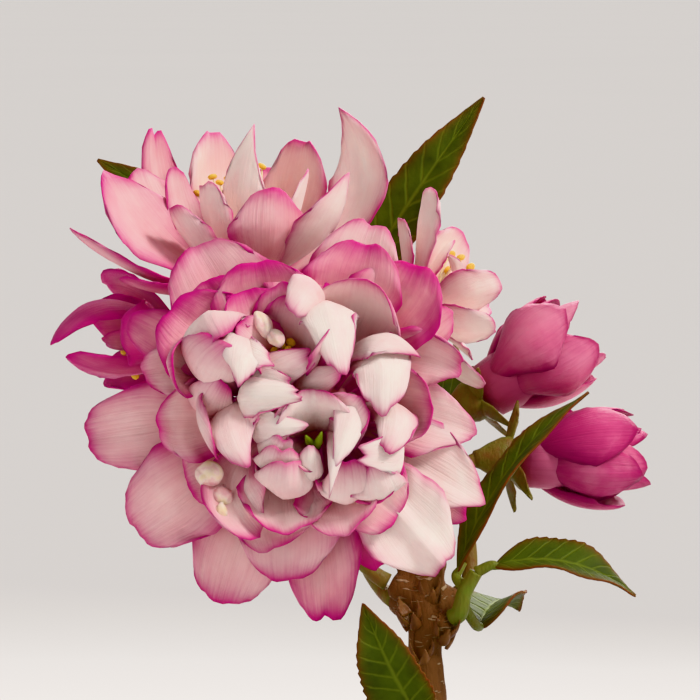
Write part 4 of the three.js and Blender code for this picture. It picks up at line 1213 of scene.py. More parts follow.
class Charted(NamedTuple):
    """One petal of a bloom that the picture shows.

    Attributes:
        foot: The spine's foot.
        middle: Its middle.
        tip: Its tip.
        width: The petal's width.
        cup: The angle by which an edge turns up, in radians.
        tone: How deep a pink it is.
        heart: What its inner face looks at, where its table doesn't say.
        roll: Its turn about its spine, in degrees.
        curl: The angle by which its tip turns in, in degrees.
        point: How sharp its tip is, from 0 to 1.
        ruffle: How strongly its edge waves.
        crease: How deep its middle folds, or below 0 how high a ridge it has.
    """

    foot: tuple[float, float, float]
    middle: tuple[float, float, float]
    tip: tuple[float, float, float]
    width: float
    cup: float
    tone: float
    heart: Heart | None = None
    roll: float = 0.0
    curl: float = 0.0
    point: float = 0.0
    ruffle: float = 0.6
    crease: float = 0.25


def towards(heart: Heart, *petals: Charted) -> tuple[Charted, ...]:
    """Returns the petals, of which all that name no heart of their own bend towards this one."""
    return tuple(petal._replace(heart=petal.heart or heart) for petal in petals)


FRONT_GUARD = towards(
    Heart.FRONT,
    Charted((-2.6, -0.4, -0.8), (-10.6, -1.6, 0.2), (-18.6, -2.8, -0.8), 7.9, 0.35, 0.36),
    Charted((-2.2, -1.6, -0.2), (-8.4, -6.2, 1.2), (-14.3, -10.5, 0.6), 9.4, 0.35, 0.36),
    Charted((-1.2, -2.4, -0.8), (-4.2, -9.6, 0.2), (-6.6, -17.1, -0.8), 8.7, 0.35, 0.36),
    Charted((-0.2, -2.6, -0.2), (-0.8, -8.8, 1.4), (-1.1, -15, 0.9), 8.9, 0.4, 0.36),
    Charted((0.6, -2.6, -0.9), (1.6, -10.6, -0.4), (2.1, -18.7, -1.6), 7.3, 0.35, 0.5),
    Charted((1.6, -2.2, -1), (4.6, -8.2, -0.8), (7, -14, -1.8), 5.8, 0.3, 0.9),
    Charted((2.2, -2.2, -0.2), (7.4, -8, 1.4), (12.4, -13.8, 0.6), 8.3, 0.35, 0.06, ruffle=1, crease=-0.9),
    Charted((2.4, -1.6, -1), (8.4, -5.8, -0.6), (14, -9.6, -1.2), 5.4, 0.3, 0.4),
    Charted((2.6, -1.2, -0.6), (9.4, -4.6, 0.6), (15.7, -8.4, 0), 8.3, 0.35, 0.12, point=0.6),
    Charted((2.8, -0.4, -0.2), (9.2, -0.8, 1.2), (15.3, -2.6, 0.8), 6.9, 0.5, 0.2, point=0.6),
    Charted((2.6, 1.4, -0.8), (8.2, 4.8, 0.6), (12.8, 8, 0.6), 5.2, 0.4, 0.4),
    Charted((1.4, 2.4, -1), (4, 9.2, -0.2), (6.2, 15.7, 0), 8.5, 0.4, 0.26),
    Charted((-1.6, 2.2, -0.8), (-5.6, 8.2, 0.6), (-9, 13.6, 0.4), 10, 0.3, 0.4),
    Charted((-2.6, 1.2, -0.8), (-8.8, 4.4, -0.4), (-14.6, 7.4, -1.6), 5.8, 0.4, 0.6),
)
FRONT_COLLAR = towards(
    Heart.FRONT,
    Charted((-2.8, 1.8, 0.4), (-7.2, 5.2, 2.6), (-11, 8.3, 3.4), 9.6, 0.5, 0.6),
    Charted((-3, 0.8, 0.4), (-8.6, 2.8, 1.8), (-13.3, 2.7, 2.6), 5.4, 0.6, 0.35),
    Charted((-2.2, 2.4, 0.2), (-5.6, 7, 1.6), (-8, 10.6, 2.2), 6.9, 0.4, 0.56),
    Charted((-1.2, 2.8, 0.6), (-2.8, 8.2, 2.8), (-3.6, 12.2, 3.8), 9.2, 0.5, 0.56),
    Charted((-0.2, 2.8, 0.4), (-0.3, 8.6, 1.8), (-0.3, 13.8, 2.8), 6.4, 0.3, 0.5, curl=230),
    Charted((1.4, 2.8, 0.6), (4, 8.8, 2.4), (5.6, 13.9, 3.4), 8.7, 0.5, 0.5, curl=-20),
    Charted((2.6, 2, 0.6), (7.2, 7.2, 2.6), (9.8, 12, 3.2), 8.9, 0.5, 0.54),
    Charted((3, 1, 0.4), (8.6, 4, 2.4), (13.3, 2.8, 3), 6.2, 0.7, 0.3, ruffle=1),
    Charted((-1, -2.8, 0.6), (-2.4, -8.4, 2.4), (-2, -12.1, 3.2), 7.9, 0.5, 0.35),
    Charted((-2.8, -1.8, 0.4), (-6.6, -4.8, 1.8), (-9.6, -6.4, 2.4), 7.3, 0.4, 0.4),
    Charted((2.2, -2.4, 0.6), (5.6, -6.8, 2.2), (8.4, -9.4, 2.8), 7.1, 0.4, 0.35),
)
FRONT_RING = towards(
    Heart.FRONT,
    Charted((-3, -0.6, 0.9), (-8.4, -1.2, 3), (-11.8, -1.2, 5.2), 7.6, 0.7, 0.31),
    Charted((-3, -1, 0.9), (-8.2, -0.2, 4.6), (-6.4, -4.6, 7.2), 4.6, 1.1, 0.22, point=0.4),
    Charted((-2.2, -2.4, 0.9), (-5.6, -6.4, 3.8), (-3.4, -10.6, 5.8), 6.4, 0.9, 0.24, roll=-30),
    Charted((-0.6, -2.8, 0.9), (-1.4, -7.8, 3), (-0.9, -10.4, 6.2), 9.2, 0.8, 0.26),
    Charted((1.8, -2.6, 0.9), (3.4, -7.6, 2.8), (4.1, -10.4, 6), 9, 0.8, 0.28),
    Charted((2.6, -2, 0.9), (6.2, -5.6, 3.4), (7.7, -7.2, 5.8), 7, 0.7, 0.46),
    Charted((3, -0.2, 0.9), (8.2, 0, 2.8), (10.9, -0.2, 6), 9, 0.9, 0.4),
    # Painted light: this cup behind the hood has a paler tone, so that it reads brighter in the hood's
    # shadow.
    Charted((2.2, 2.2, 0.9), (5, 7, 2.8), (5.4, 10.3, 6.2), 9.4, 0.9, 0.2),
    Charted((-2.6, 2, 0.9), (-7.2, 7.6, 4.8), (-6.4, 5.5, 8.2), 8.2, 1, 0.2, heart=Heart.SIDE, roll=10),
    Charted((-2.8, 1.2, 0.9), (-9.6, 3, 3.6), (-10.2, 3.8, 6.8), 7, 1, 0.36, heart=Heart.SIDE),
    Charted((-2.8, 1.4, 0.9), (-7.6, 1.9, 5.6), (-5.8, 5, 8.2), 8.6, 1.2, 0.3,
            heart=Heart.SIDE, roll=-50, ruffle=0.4),
    Charted((-2.6, 2, 0.9), (-4.2, 5.2, 7.2), (-4.6, 1.7, 9), 4.6, 0.9, 0.05,
            heart=Heart.SIDE, roll=-15, ruffle=1.2, point=0.4),
    Charted((-2.6, 1.6, 0.9), (-4.6, 4.4, 6.6), (-2.4, 3.5, 8.6), 3.4, 0.8, 0.08,
            heart=Heart.SIDE, roll=-155, ruffle=1.1),
    Charted((-2.8, 0.2, 0.9), (-7.4, -0.8, 4.4), (-6.4, 2.2, 6.8), 6.4, 1.1, 0.26,
            heart=Heart.SIDE, roll=-40),
    Charted((2.8, 1.8, 0.9), (5.8, 5.6, 6.4), (10, 3.8, 6.6), 4.2, 0.8, 0.1, heart=Heart.BRIGHT, point=0.8),
    Charted((3, 1.2, 0.9), (6.4, 4.6, 6.6), (6.9, -0.3, 8.2), 6.6, 0.9, 0.05,
            heart=Heart.BRIGHT, roll=-20, ruffle=1),
)
FRONT_UPPER = towards(
    Heart.UPPER,
    Charted((-0.6, 1, 0.9), (-3.6, 1.8, 5.4), (1.4, 4.4, 7.6), 4.6, 0.8, 0.2, roll=20),
    Charted((1.2, 2.6, 0.9), (1.8, 9.5, 5.2), (-0.6, 7.3, 7.8), 6, 1.1, 0.16, roll=35, point=0.3),
    Charted((2, 2.4, 0.9), (2.3, 8.5, 6.4), (3.7, 2.4, 9), 6.2, 1.3, 0.06,
            heart=Heart.HOOD, roll=-15, point=0.25, ruffle=1),
    Charted((0, 3, 0.9), (0, 5.6, 4.2), (0.6, 9.2, 5.8), 8, 0.8, 0.36),
    Charted((0.8, 2.4, 0.9), (1.6, 4.4, 5.4), (2.4, 7.2, 7.2), 6, 0.8, 0.26),
    Charted((-1.6, 2.4, 0.9), (-2.9, 4.6, 4.9), (-5, 7, 6.8), 5.6, 0.8, 0.32),
    Charted((-1.2, 3, 0.9), (-3.2, 6.2, 4), (-4.4, 9.8, 5.2), 8, 0.8, 0.46),
    Charted((-0.2, 3, 0.9), (-0.8, 6.6, 4.2), (-1.4, 10.2, 5.4), 6.8, 0.8, 0.42),
    Charted((0.2, 2, 0.9), (0.2, 1.6, 5.6), (3.4, 3, 7.4), 3.6, 0.8, 0.2, roll=105),
)
FRONT_LOWER = towards(
    Heart.LOWER,
    Charted((-0.6, -2.6, 0.9), (-1.3, -7.5, 4.8), (-1.1, -4.3, 7.9), 7.8, 1.3, 0.16, roll=-15, ruffle=0.4),
    Charted((1.8, -2.6, 0.9), (3.8, -8, 4.4), (3.9, -4.4, 7.2), 7.6, 1.2, 0.18, roll=25, ruffle=0.5),
    Charted((-0.6, -2.4, 0.9), (-1.6, -6, 4.8), (-1.3, -3.1, 7.8), 6, 1.2, 0.14, roll=-25, ruffle=0.4),
    Charted((-0.8, -2, 0.9), (-2.6, -5, 5), (-1.1, -2.4, 7.8), 4.8, 1.1, 0.1, roll=-20, ruffle=0.5),
    Charted((-1, -1.4, 0.9), (-3.8, -1.6, 6), (1.5, -1.5, 8.5), 3.8, 0.9, 0.05, roll=-10, point=0.7),
    Charted((-2, 0.2, 0.9), (-5.6, -0.4, 6), (-4, -5.4, 8.5), 5.2, 0.8, 0.18, roll=65, point=0.5),
    Charted((-1.4, -0.2, 0.9), (-5, 0.7, 6.6), (0.1, 0.9, 8.4), 3.8, 0.8, 0, roll=-25, ruffle=1.3),
    Charted((-0.8, 0.4, 0.9), (-4.2, 2.2, 5.2), (-0.4, 1.7, 7.6), 3.4, 0.8, 0.06, roll=-30, ruffle=1.1),
    Charted((0.8, -2.8, 0.9), (1, -6.2, 4.8), (0.9, -3.1, 7.3), 3.2, 1.1, 0.06, roll=-5),
    Charted((2, -2.2, 0.9), (3, -3, 7.2), (2.6, -7.2, 8.2), 2, 1.1, 0.08, roll=-95, point=0.9),
    Charted((2.4, -0.6, 0.9), (4.6, 0.6, 6.4), (3, -5, 8.4), 3.6, 1, 0.05, roll=-35, point=0.3),
    Charted((1.2, -2, 0.9), (1.2, -1.1, 5.8), (1.2, 1.4, 8), 7, 0.8, 0.14),
    Charted((2, -1.8, 0.9), (3.4, -1.2, 5.8), (5.2, 0.6, 7.6), 5.6, 0.9, 0.24),
    Charted((2.8, -0.8, 0.9), (7.6, 0, 5.6), (7.2, -3.7, 8), 4.4, 1, 0.12, heart=Heart.BRIGHT, roll=-45),
    Charted((3, -1.4, 0.9), (8.4, -3.4, 5.8), (4.8, -4, 8.2), 4.4, 0.7, 0.03, roll=-25, ruffle=1.1),
    Charted((2.4, -2.2, 0.9), (6.6, -7.4, 4.6), (6.2, -4.8, 6.9), 5.6, 1.1, 0.16, roll=30),
    Charted((1.8, -2, 0.9), (3.2, -2.6, 5.4), (4.6, -1.6, 7.2), 4.4, 0.9, 0.18),
    Charted((0.6, -2, 0.9), (-0.2, -1.6, 5.2), (-1.4, 0, 7.4), 4.6, 0.8, 0.14),
    Charted((0.6, -2.8, 0.9), (-0.2, -4.2, 5.4), (-0.4, -4.6, 7.2), 4, 0.9, 0.16),
)
TOP_PETALS = towards(
    Heart.TOP,
    Charted((-5.8, 10.8, -8.4), (-12.6, 14.4, -6), (-16.9, 20.7, -7), 8.2, 0.5, 0.4,
            heart=Heart.TOP_SIDE, point=0.5),
    Charted((-5.6, 11.4, -10.8), (-11.4, 16.8, -12.5), (-13, 24.5, -12), 4.6, 0.5, 0.35,
            heart=Heart.TOP_SIDE),
    Charted((-4.8, 11.4, -11.4), (-7.6, 17, -13), (-8, 24.1, -12), 8.4, 0.5, 0.15),
    Charted((-4.2, 11.6, -8.6), (-5.4, 17.6, -7), (-4, 24.2, -7.4), 6, 0.6, 0.04, point=1),
    Charted((-3, 11.4, -11.6), (-0.8, 17.4, -13.5), (0.1, 23.4, -12.6), 7.4, 0.5, 0.2),
    Charted((-1.8, 11, -9.4), (5, 17.8, -9.6), (3.4, 25.5, -9.5), 6.2, 0.5, 0.12,
            heart=Heart.TOP_SIDE, point=0.5),
    Charted((-3, 11.2, -8), (1.4, 14.6, -3.4), (4, 20.1, -3.2), 5.5, 0.6, 0.15, point=0.7),
    Charted((-3.8, 11, -7.8), (-2.6, 13.8, -3), (-2.5, 18.9, -2.4), 7.7, 0.6, 0.42, point=0.3),
    Charted((-5.2, 10.4, -7.6), (-8.8, 13.4, -4.6), (-11, 17.2, -4.2), 4.8, 0.8, 0.2),
    Charted((-5.2, 11, -9), (-9.6, 15.4, -8.8), (-11.1, 20.8, -8.6), 3.6, 0.6, 0.25, heart=Heart.TOP_SIDE),
    Charted((-4.6, 11, -8.4), (-7.4, 14.6, -6.6), (-8.3, 19.4, -6.6), 5.8, 0.7, 0.06),
    Charted((-3.2, 11.4, -9.4), (-0.8, 15.4, -9), (0.6, 20.7, -9), 6.2, 0.7, 0.02),
    Charted((-5.6, 10.4, -8.4), (-12.6, 10.8, -5.6), (-20, 15.2, -4.8), 4.3, 0.5, 0.45),
    Charted((-5.4, 10.5, -8), (-10.8, 9.6, -5.4), (-15.5, 10.9, -4.6), 3.6, 0.6, 0.6),
    Charted((-5.4, 11.2, -10.2), (-11.6, 15.6, -10.4), (-14.3, 20.5, -10.4), 5.8, 0.5, 0.3,
            heart=Heart.TOP_SIDE),
    Charted((-4, 10.6, -11.8), (-3.2, 15.8, -16.2), (-3.4, 21, -18.4), 7.7, 0.5, 0.35),
    Charted((-5, 10.4, -11.6), (-9.4, 14.6, -16), (-12.4, 18.8, -17.6), 7.7, 0.5, 0.4),
    Charted((-2.6, 10.4, -11.4), (2.2, 14.8, -15.4), (4.8, 19.4, -16.8), 7.7, 0.5, 0.35),
)
LEFT_PETALS = towards(
    Heart.LEFT,
    Charted((-9.6, 5.6, -11.8), (-16.6, 8.8, -7.8), (-21.6, 5.3, -7.2), 4.3, 0.7, 0.9),
    Charted((-9.6, 4.2, -11.8), (-15.4, 2.8, -7.6), (-20.2, 4.1, -7), 4.1, 0.7, 0.85),
    Charted((-9.8, 5, -13), (-15.2, 7.4, -12.4), (-18.6, 7, -12.6), 5.8, 0.6, 0.75),
    Charted((-9.8, 4.6, -11.2), (-13.2, 6, -5.8), (-15.6, 6.4, -5.8), 6, 0.7, 0.9),
    Charted((-9.6, 5.4, -13), (-14.4, 9.6, -13), (-17.6, 10.4, -14.4), 5.6, 0.6, 0.85),
    Charted((-9.6, 4.2, -13), (-14.2, 3.2, -13.2), (-17.6, 2.6, -14.6), 5.6, 0.6, 0.85),
    Charted((-9.8, 4.8, -13.4), (-13.6, 6.4, -15), (-16.4, 6.6, -17.4), 6, 0.5, 0.8),
    Charted((-9.8, 4.8, -12.2), (-14, 5.2, -9.4), (-17.4, 5.4, -9.6), 3.7, 0.8, 0.6),
    Charted((-9.8, 5.2, -12.2), (-13.8, 8, -9.4), (-16.8, 8, -10), 3.7, 0.8, 0.6),
)
RIGHT_PETALS = towards(
    Heart.RIGHT,
    Charted((9.8, 8.8, -8.6), (10.3, 14, -7.6), (11.2, 18.8, -8.4), 5.8, 0.5, 0.06),
    Charted((10.4, 8.8, -8.8), (11.8, 12.4, -8.8), (13.5, 14.1, -8.8), 3.2, 0.6, 0.04),
    Charted((9.6, 8.8, -8.6), (8.9, 13, -8), (8.7, 16.2, -8.2), 4.4, 0.5, 0.1),
    Charted((10.4, 8.2, -8.4), (14, 9.4, -6.4), (17.4, 10.4, -6.8), 5.1, 0.6, 0.1),
    Charted((10.2, 7.9, -8.3), (13.2, 6.6, -5.8), (17, 6.6, -5.6), 6.2, 0.5, 0.03),
    Charted((10.2, 7.6, -8.4), (12.2, 4.2, -5.4), (16, 1.6, -4.6), 5.1, 0.5, 0.08),
    Charted((10.4, 8.4, -8.8), (13.6, 10.2, -8.2), (12.9, 13, -8.2), 1.8, 0.9, 0),
    Charted((10, 8.6, -9.6), (12, 12.2, -12), (14.6, 14.8, -13.6), 5.8, 0.5, 0.12),
    Charted((10.5, 8.1, -9.5), (13.8, 8.6, -11.8), (16.8, 8.8, -12.8), 5.8, 0.5, 0.12),
    Charted((10.2, 8, -9.5), (13, 6, -11.8), (15.2, 4, -13), 5.8, 0.5, 0.12),
)


@dataclass(frozen=True)
class Flower:
    """Where a bloom or bud sits, which way it faces, and the spur of wood that bears it.

    Attributes:
        name: The start of its nodes' names.
        kind: How far it has opened.
        seat: The foot of its petals.
        facing: The way it faces.
        spur: The foot and the end of its spur.
        seed: Names its draws.
        scale: Scales its petals.
        tone: How deep a pink its petals are, at the outside and in the middle.
        chart: Its petals one by one, where the picture shows them.
    """

    name: str
    kind: Kind
    seat: Array
    facing: Array
    spur: tuple[Array, Array]
    seed: int = 1
    scale: float = 1.0
    tone: tuple[float, float] = (0.3, 0.12)
    chart: tuple[Charted, ...] = ()

    def basis(self) -> Array:
        """Returns the axes of the bloom's frame as columns, of which z is its own axis."""
        faces_up = unit(self.facing)[2] > 0.8
        return axes(self.facing, point(0, 1, 0) if faces_up else UP)


FLOWERS = (
    Flower("front_bloom", Kind.FRONT, spray(0, 0, 1.5), heading(-0.05, -0.03, -1),
           (spray(10.8, -17.2, 9.4), spray(7.8, -15.8, 9.8)),
           chart=FRONT_GUARD + FRONT_COLLAR + FRONT_RING + FRONT_UPPER + FRONT_LOWER),
    Flower("top_bloom", Kind.GOBLET, spray(-4, 9.8, 9.6), heading(-0.24, 0.94, 0.2),
           (spray(10.8, -15.4, 9.8), spray(8.6, -13.2, 12.4)), seed=21, chart=TOP_PETALS),
    Flower("left_bloom", Kind.SMALL, spray(-8.8, 4.6, 12.8), heading(-0.9, 0.02, -0.4),
           (spray(10.8, -18.6, 9.6), spray(8.4, -17.6, 13.2)), seed=33, chart=LEFT_PETALS),
    Flower("right_bloom", Kind.SMALL, spray(9.4, 7.4, 9), heading(0.72, 0.6, 0.3),
           (spray(11, -15, 9.8), spray(11.4, -12, 10.6)), seed=41, chart=RIGHT_PETALS),
    Flower("upper_bud", Kind.BUD, spray(16.2, 0.6, 21.5), heading(0.82, 0.5, 0.1),
           (spray(11, -15.8, 9.8), spray(11.8, -13.8, 12.8)), seed=51, scale=0.95, tone=(0.5, 0.34)),
    Flower("lower_bud", Kind.BUD, spray(19.1, -5, 15.5), heading(0.93, 0, 0.2),
           (spray(11, -18.4, 9.8), spray(13.6, -17, 11.8)), seed=52, scale=0.95, tone=(0.7, 0.55)),
    Flower("left_spray_bloom", Kind.OPEN, point(-42, -12, 84), point(-0.45, -0.6, 0.66),
           (point(-34, -7, 74), point(-36, -8.4, 76.4)), seed=61),
    Flower("left_spray_goblet", Kind.GOBLET, point(-42, 14, 80), point(-0.6, 0.5, 0.62),
           (point(-33, -4, 73.4), point(-35, -0.6, 74.6)), seed=62, scale=0.9, tone=(0.6, 0.3)),
    Flower("right_spray_bloom", Kind.OPEN, point(44, 4, 78), point(0.55, -0.45, 0.7),
           (point(36, 2, 68), point(38.4, 2.4, 70.4)), seed=71, scale=0.96),
    Flower("right_spray_bud", Kind.BUD, point(46, 22, 66), point(0.6, 0.6, 0.5),
           (point(36.4, 2.8, 67), point(39.4, 7, 66.6)), seed=72, scale=0.9, tone=(0.7, 0.5)),
    Flower("back_spray_bloom", Kind.OPEN, point(-2, 44, 84), point(-0.1, 0.75, 0.65),
           (point(2, 35, 76), point(1.4, 37.4, 78)), seed=81, tone=(0.4, 0.15)),
    Flower("back_spray_bud", Kind.BUD, point(18, 42, 76), point(0.55, 0.5, 0.66),
           (point(4, 33, 75), point(7.4, 35, 75.4)), seed=82, scale=0.9, tone=(0.7, 0.5)),
    Flower("front_spray_bloom", Kind.GOBLET, point(18, -38, 66), point(0.3, -0.7, 0.64),
           (point(14, -28, 58), point(15, -30.4, 59.8)), seed=91, scale=0.9, tone=(0.45, 0.2)),
)


@dataclass
class Bloom:
    """One bloom or bud: its petals, its calyx with its stalk, and what shows in its heart.

    Attributes:
        flower: Its place and kind.
        fine: The blank for the front bloom's petals.
        plain: The blank for all others.
        calyx_height: From the calyx's mouth down to its neck.
        neck_radius: Of the calyx.
        stalk_radius: Of the flower stalk.
        gap: Between petals and calyx, and between stalk and spur.
    """

    flower: Flower
    fine: Blank
    plain: Blank
    calyx_height: float = 3.6
    neck_radius: float = 0.75
    stalk_radius: float = 0.65
    gap: float = 0.3

    def build(self) -> None:
        """Builds, dresses and places the bloom's pieces."""
        flower = self.flower
        is_bud = flower.kind is Kind.BUD
        is_front = flower.kind is Kind.FRONT
        shells = [self.moved(self.receptacle())]
        if flower.chart:
            shells += [petal.shell(self.fine if is_front else self.plain) for petal in self.charted_petals()]
        else:
            shells += [self.moved(petal.shell(self.plain)) for petal in self.spiral_petals()]
        skin, slot = (Finish.BUD_PETAL, "bud") if is_bud else (Finish.PETAL, "petal")
        Workshop.make(f"{flower.name}_petals_fine", shells, skin, slot, f"{flower.name}_petals")
        calyx = [self.moved(shell) for shell in self.calyx()]
        Workshop.make(f"{flower.name}_calyx_fine", calyx, Finish.CALYX, "calyx", f"{flower.name}_calyx")
        if flower.kind in STAMENS:
            stamens = [self.moved(shell) for shell in self.stamens()]
            Workshop.make(f"{flower.name}_stamens", stamens, Finish.STAMEN, "petal")
        if is_front:
            Workshop.make("front_bloom_pistils", self.pistils(), Finish.PISTIL, "calyx")
            Workshop.make("front_bloom_stubs", self.stubs(), Finish.STUB, "petal")

    def moved(self, shell: Shell) -> Shell:
        """Returns a shell of the bloom's frame in the tree's frame."""
        return shell.moved(self.flower.basis(), self.flower.seat)

    def spiral_petals(self) -> list[Petal]:
        """Returns the petals of a bloom that grows in one spiral, with the finer ones between."""
        flower = self.flower
        spiral = SPIRALS[flower.kind]
        draw = Draws(flower.seed)
        wander = np.random.default_rng(flower.seed)
        petals = [
            self.spiral_petal(spiral, k / (spiral.count - 1), GOLDEN_ANGLE * k, draw, wander)
            for k in range(spiral.count)
        ]
        for k in range(spiral.extra):
            share = mix(0.25, 1.0, (k + 0.5) / spiral.extra)
            petals.append(self.spiral_petal(spiral, share, 61 + GOLDEN_ANGLE * k, draw, wander))
        return petals

    def spiral_petal(
        self, spiral: Spiral, share: float, azimuth: float, draw: Draws, wander: np.random.Generator,
    ) -> Petal:
        """Makes one petal of a spiral.

        Args:
            spiral: The bloom's spiral.
            share: From the outer petal, 0, to the inner one, 1.
            azimuth: The way it points, before it is drawn a little off.
            draw: The draws that the solid petals use.
            wander: The draws for what only the fine petal has.

        Returns:
            The petal.
        """
        scale = self.flower.scale
        traits = Traits(*(mix(outer, inner, share) for outer, inner in zip(spiral.outer, spiral.inner)))
        azimuth += draw(5)
        length = scale * (traits.reach * (1 + draw(0.07)) - traits.root_out)
        width = scale * traits.width * (1 + draw(0.07))
        lift = (traits.lift0 + draw(3), traits.lift1 + draw(5))
        cup = traits.cup * (1 + draw(0.12))
        roll = draw(5)
        root = around(traits.root_out, azimuth, traits.root_up)
        is_bud = self.flower.kind is Kind.BUD
        return LiftedPetal(
            length, width, pick=wander.random(), tone=mix(*self.flower.tone, share) + wander.normal(0, 0.04),
            root=root, azimuth=azimuth, lift=lift, cup=cup, roll=roll,
            curl=wander.uniform(-14, 22) * (not is_bud),
            ruffle=0.3 if is_bud else wander.uniform(0.5, 1.1), crease=wander.uniform(0, 0.5),
            notch=wander.uniform(-0.03, 0.06), phase=phases(wander),
        )

    def charted_petals(self) -> list[Petal]:
        """Returns the petals of a bloom that the picture shows, in the tree's frame."""
        wander = np.random.default_rng(self.flower.seed + 11)
        petals = []
        for entry in self.flower.chart:
            knots = tuple(Spot(*knot).place() for knot in (entry.foot, entry.middle, entry.tip))
            length = np.linalg.norm(knots[1] - knots[0]) + np.linalg.norm(knots[2] - knots[1])
            petals.append(ArchedPetal(
                length, entry.width, pick=wander.random(), tone=entry.tone, cup=entry.cup, roll=entry.roll,
                curl=entry.curl, ruffle=entry.ruffle, crease=entry.crease,
                notch=wander.uniform(-0.03, 0.04), point=entry.point, phase=phases(wander),
                knots=knots, heart=Spot(*entry.heart.value).place(),
            ))
        return petals

    def receptacle(self) -> Shell:
        """Returns the small body that the petals root in."""
        radius, height = CORES[self.flower.kind]
        path = np.array([[0, 0, height * share] for share in (0, 0.04, 0.12, 0.45, 0.7, 0.85, 0.96)])
        radii = radius * np.array([0.35, 0.45, 0.92, 1.0, 0.9, 0.72, 0.3])
        shell = sweep(path, radii, 24)
        shell.uv[:, 1] = 0.1
        return shell.marked(edge=9.0, tone=0.45, pick=0.3, wash=0.5)

    def calyx(self) -> list[Shell]:
        """Returns the calyx cup, its lobes and the stalk that leads to it from the spur."""
        mouth, height = -self.gap, self.calyx_height
        rise = (-1.02, -1.0, -0.86, -0.62, -0.3, -0.1, 0.0)
        path = np.array([[0, 0, mouth + z * height] for z in rise])
        radii = self.neck_radius * np.array([0.3, 0.98, 1.2, 1.9, 2.6, 2.66, 2.3])
        ribbed = sweep(path, radii, 40, lambda share, angle: 1 + 0.05 * np.cos(5 * angle) * share)
        lift = 22 if self.flower.kind is Kind.BUD else -24
        wander = np.random.default_rng(self.flower.seed + 500)
        shells = [ribbed]
        for bearing in range(0, 360, 72):
            sepal = Sepal(
                4.0, 3.0, root=around(1.5, bearing, mouth - 0.55), azimuth=bearing + wander.uniform(-4, 4),
                lift=(lift + 2, lift - 4), cup=0.5, ruffle=0.5, crease=0.6, notch=0, phase=phases(wander),
            )
            shells.append(replace(sepal.shell(self.plain), marks={}))
        shells.append(self.stalk())
        return shells

    def stalk(self) -> Shell:
        """Returns the flower stalk, from the end of the spur to the calyx."""
        basis, seat = self.flower.basis(), self.flower.seat
        foot, tip = [(end - seat) @ basis for end in self.flower.spur]
        outward = unit(tip - foot)
        start, end = tip + self.gap * outward, point(0, 0, 0.5 - self.calyx_height)
        pull = 0.36 * np.linalg.norm(end - start)
        count = 26
        path = bezier(start, start + outward * pull, end - UP * pull, end, count)
        swell = 1 + 0.22 * np.exp(-((np.linspace(0, 1, count) / 0.06) ** 2))
        return sweep(path, self.stalk_radius * swell, 14)

    def stamens(self) -> list[Shell]:
        """Returns the stamens that show in the heart, each a thread with a pollen head."""
        bunch = STAMENS[self.flower.kind]
        wander = np.random.default_rng(self.flower.seed + 900)
        shells = []
        for k in range(bunch.count):
            lean = around(bunch.spread * ((k + 0.5) / bunch.count) ** 0.5, GOLDEN_ANGLE * k, 0)
            foot = np.array([*bunch.middle, 2.0]) + 0.3 * lean
            tip = foot + lean + [0, 0, bunch.reach * self.flower.scale * wander.uniform(0.8, 1.05)]
            climb = UP * bunch.reach
            path = bezier(foot, foot + 0.4 * climb, tip - 0.3 * climb - 0.2 * lean, tip, 12)
            shells.append(sweep(path, np.linspace(0.14, 0.08, 12), 6).marked(pollen=0.0))
            axis = unit(wander.normal(0, 1, 3))
            ends = np.array([tip + axis * size for size in (-0.42, -0.3, -0.1, 0.1, 0.3, 0.42)])
            radii = np.array([0.1, 0.24, 0.3, 0.3, 0.24, 0.1])
            head = sweep(ends, radii, 10, lambda share, angle: 1 + 0.24 * np.cos(2 * angle))
            shells.append(head.marked(pollen=1.0))
        return shells

    def pistils(self) -> list[Shell]:
        """Returns the green pistils in the lower heart."""
        shells = []
        for foot, tip, lean in (
            (Spot(1.4, -3.4, 1.6), Spot(1.9, -2.1, 8.0), heading(0.4, 1.3, 0)),
            (Spot(1.0, -3.2, 1.6), Spot(0.6, -2.4, 7.4), heading(-0.4, 0.9, 0)),
        ):
            start, end = foot.place(), tip.place()
            front = heading(0, 0, -1)
            path = bezier(start, start + front * 2, end - front * 1.6 - lean, end, 16)
            radii = np.array([*np.linspace(0.42, 0.3, 8), 0.3, 0.32, 0.33, 0.32, 0.28, 0.22, 0.15, 0.07])
            shells.append(sweep(path, radii, 14))
        return shells

    def stubs(self) -> list[Shell]:
        """Returns the small knobbed petals at the lower left and in the upper heart."""
        shells = []
        for foot, low, high, size in (
            (Spot(-4.4, -3.6, 1.2), Spot(-7.0, -6.4, 4.8), Spot(-8.3, -5.3, 4.6), 1.15),
            (Spot(-4.2, -4.4, 1.2), Spot(-6.5, -6.9, 4.8), Spot(-6.0, -8.1, 4.4), 0.85),
            (Spot(-4.2, -4.6, 1.2), Spot(-6.5, -8.2, 5.6), Spot(-6.3, -9.5, 5.2), 0.5),
            (Spot(-2.4, 4.4, 2.0), Spot(-2.7, 5.9, 6.2), Spot(-3.4, 7.7, 5.8), 0.72),
            (Spot(-1.8, 4.0, 2.0), Spot(-1.6, 5.1, 6.6), Spot(-2.4, 6.2, 6.2), 0.68),
        ):
            start, near, far = foot.place(), low.place(), high.place()
            thread = bezier(start, mix(start, near, 0.3), near + heading(0, 0, 1.6), near, 10)
            shells.append(sweep(thread, np.linspace(0.3, 0.2, 10), 8))
            axis = unit(far - near)
            side = unit(np.cross(axis, heading(0, 0, -1)))
            span = np.linspace(-0.1, 1.14, 15)
            bulge = np.sin(math.pi * np.clip((span + 0.12) / 1.28, 0, 1)) ** 0.62
            middle = near + np.outer(span, far - near) + np.outer(0.16 * size * np.sin(4 * span), side)
            shells.append(sweep(middle, size * (0.06 + bulge * (1 - 0.16 * span)), 32, self.knob_lobes))
        return shells

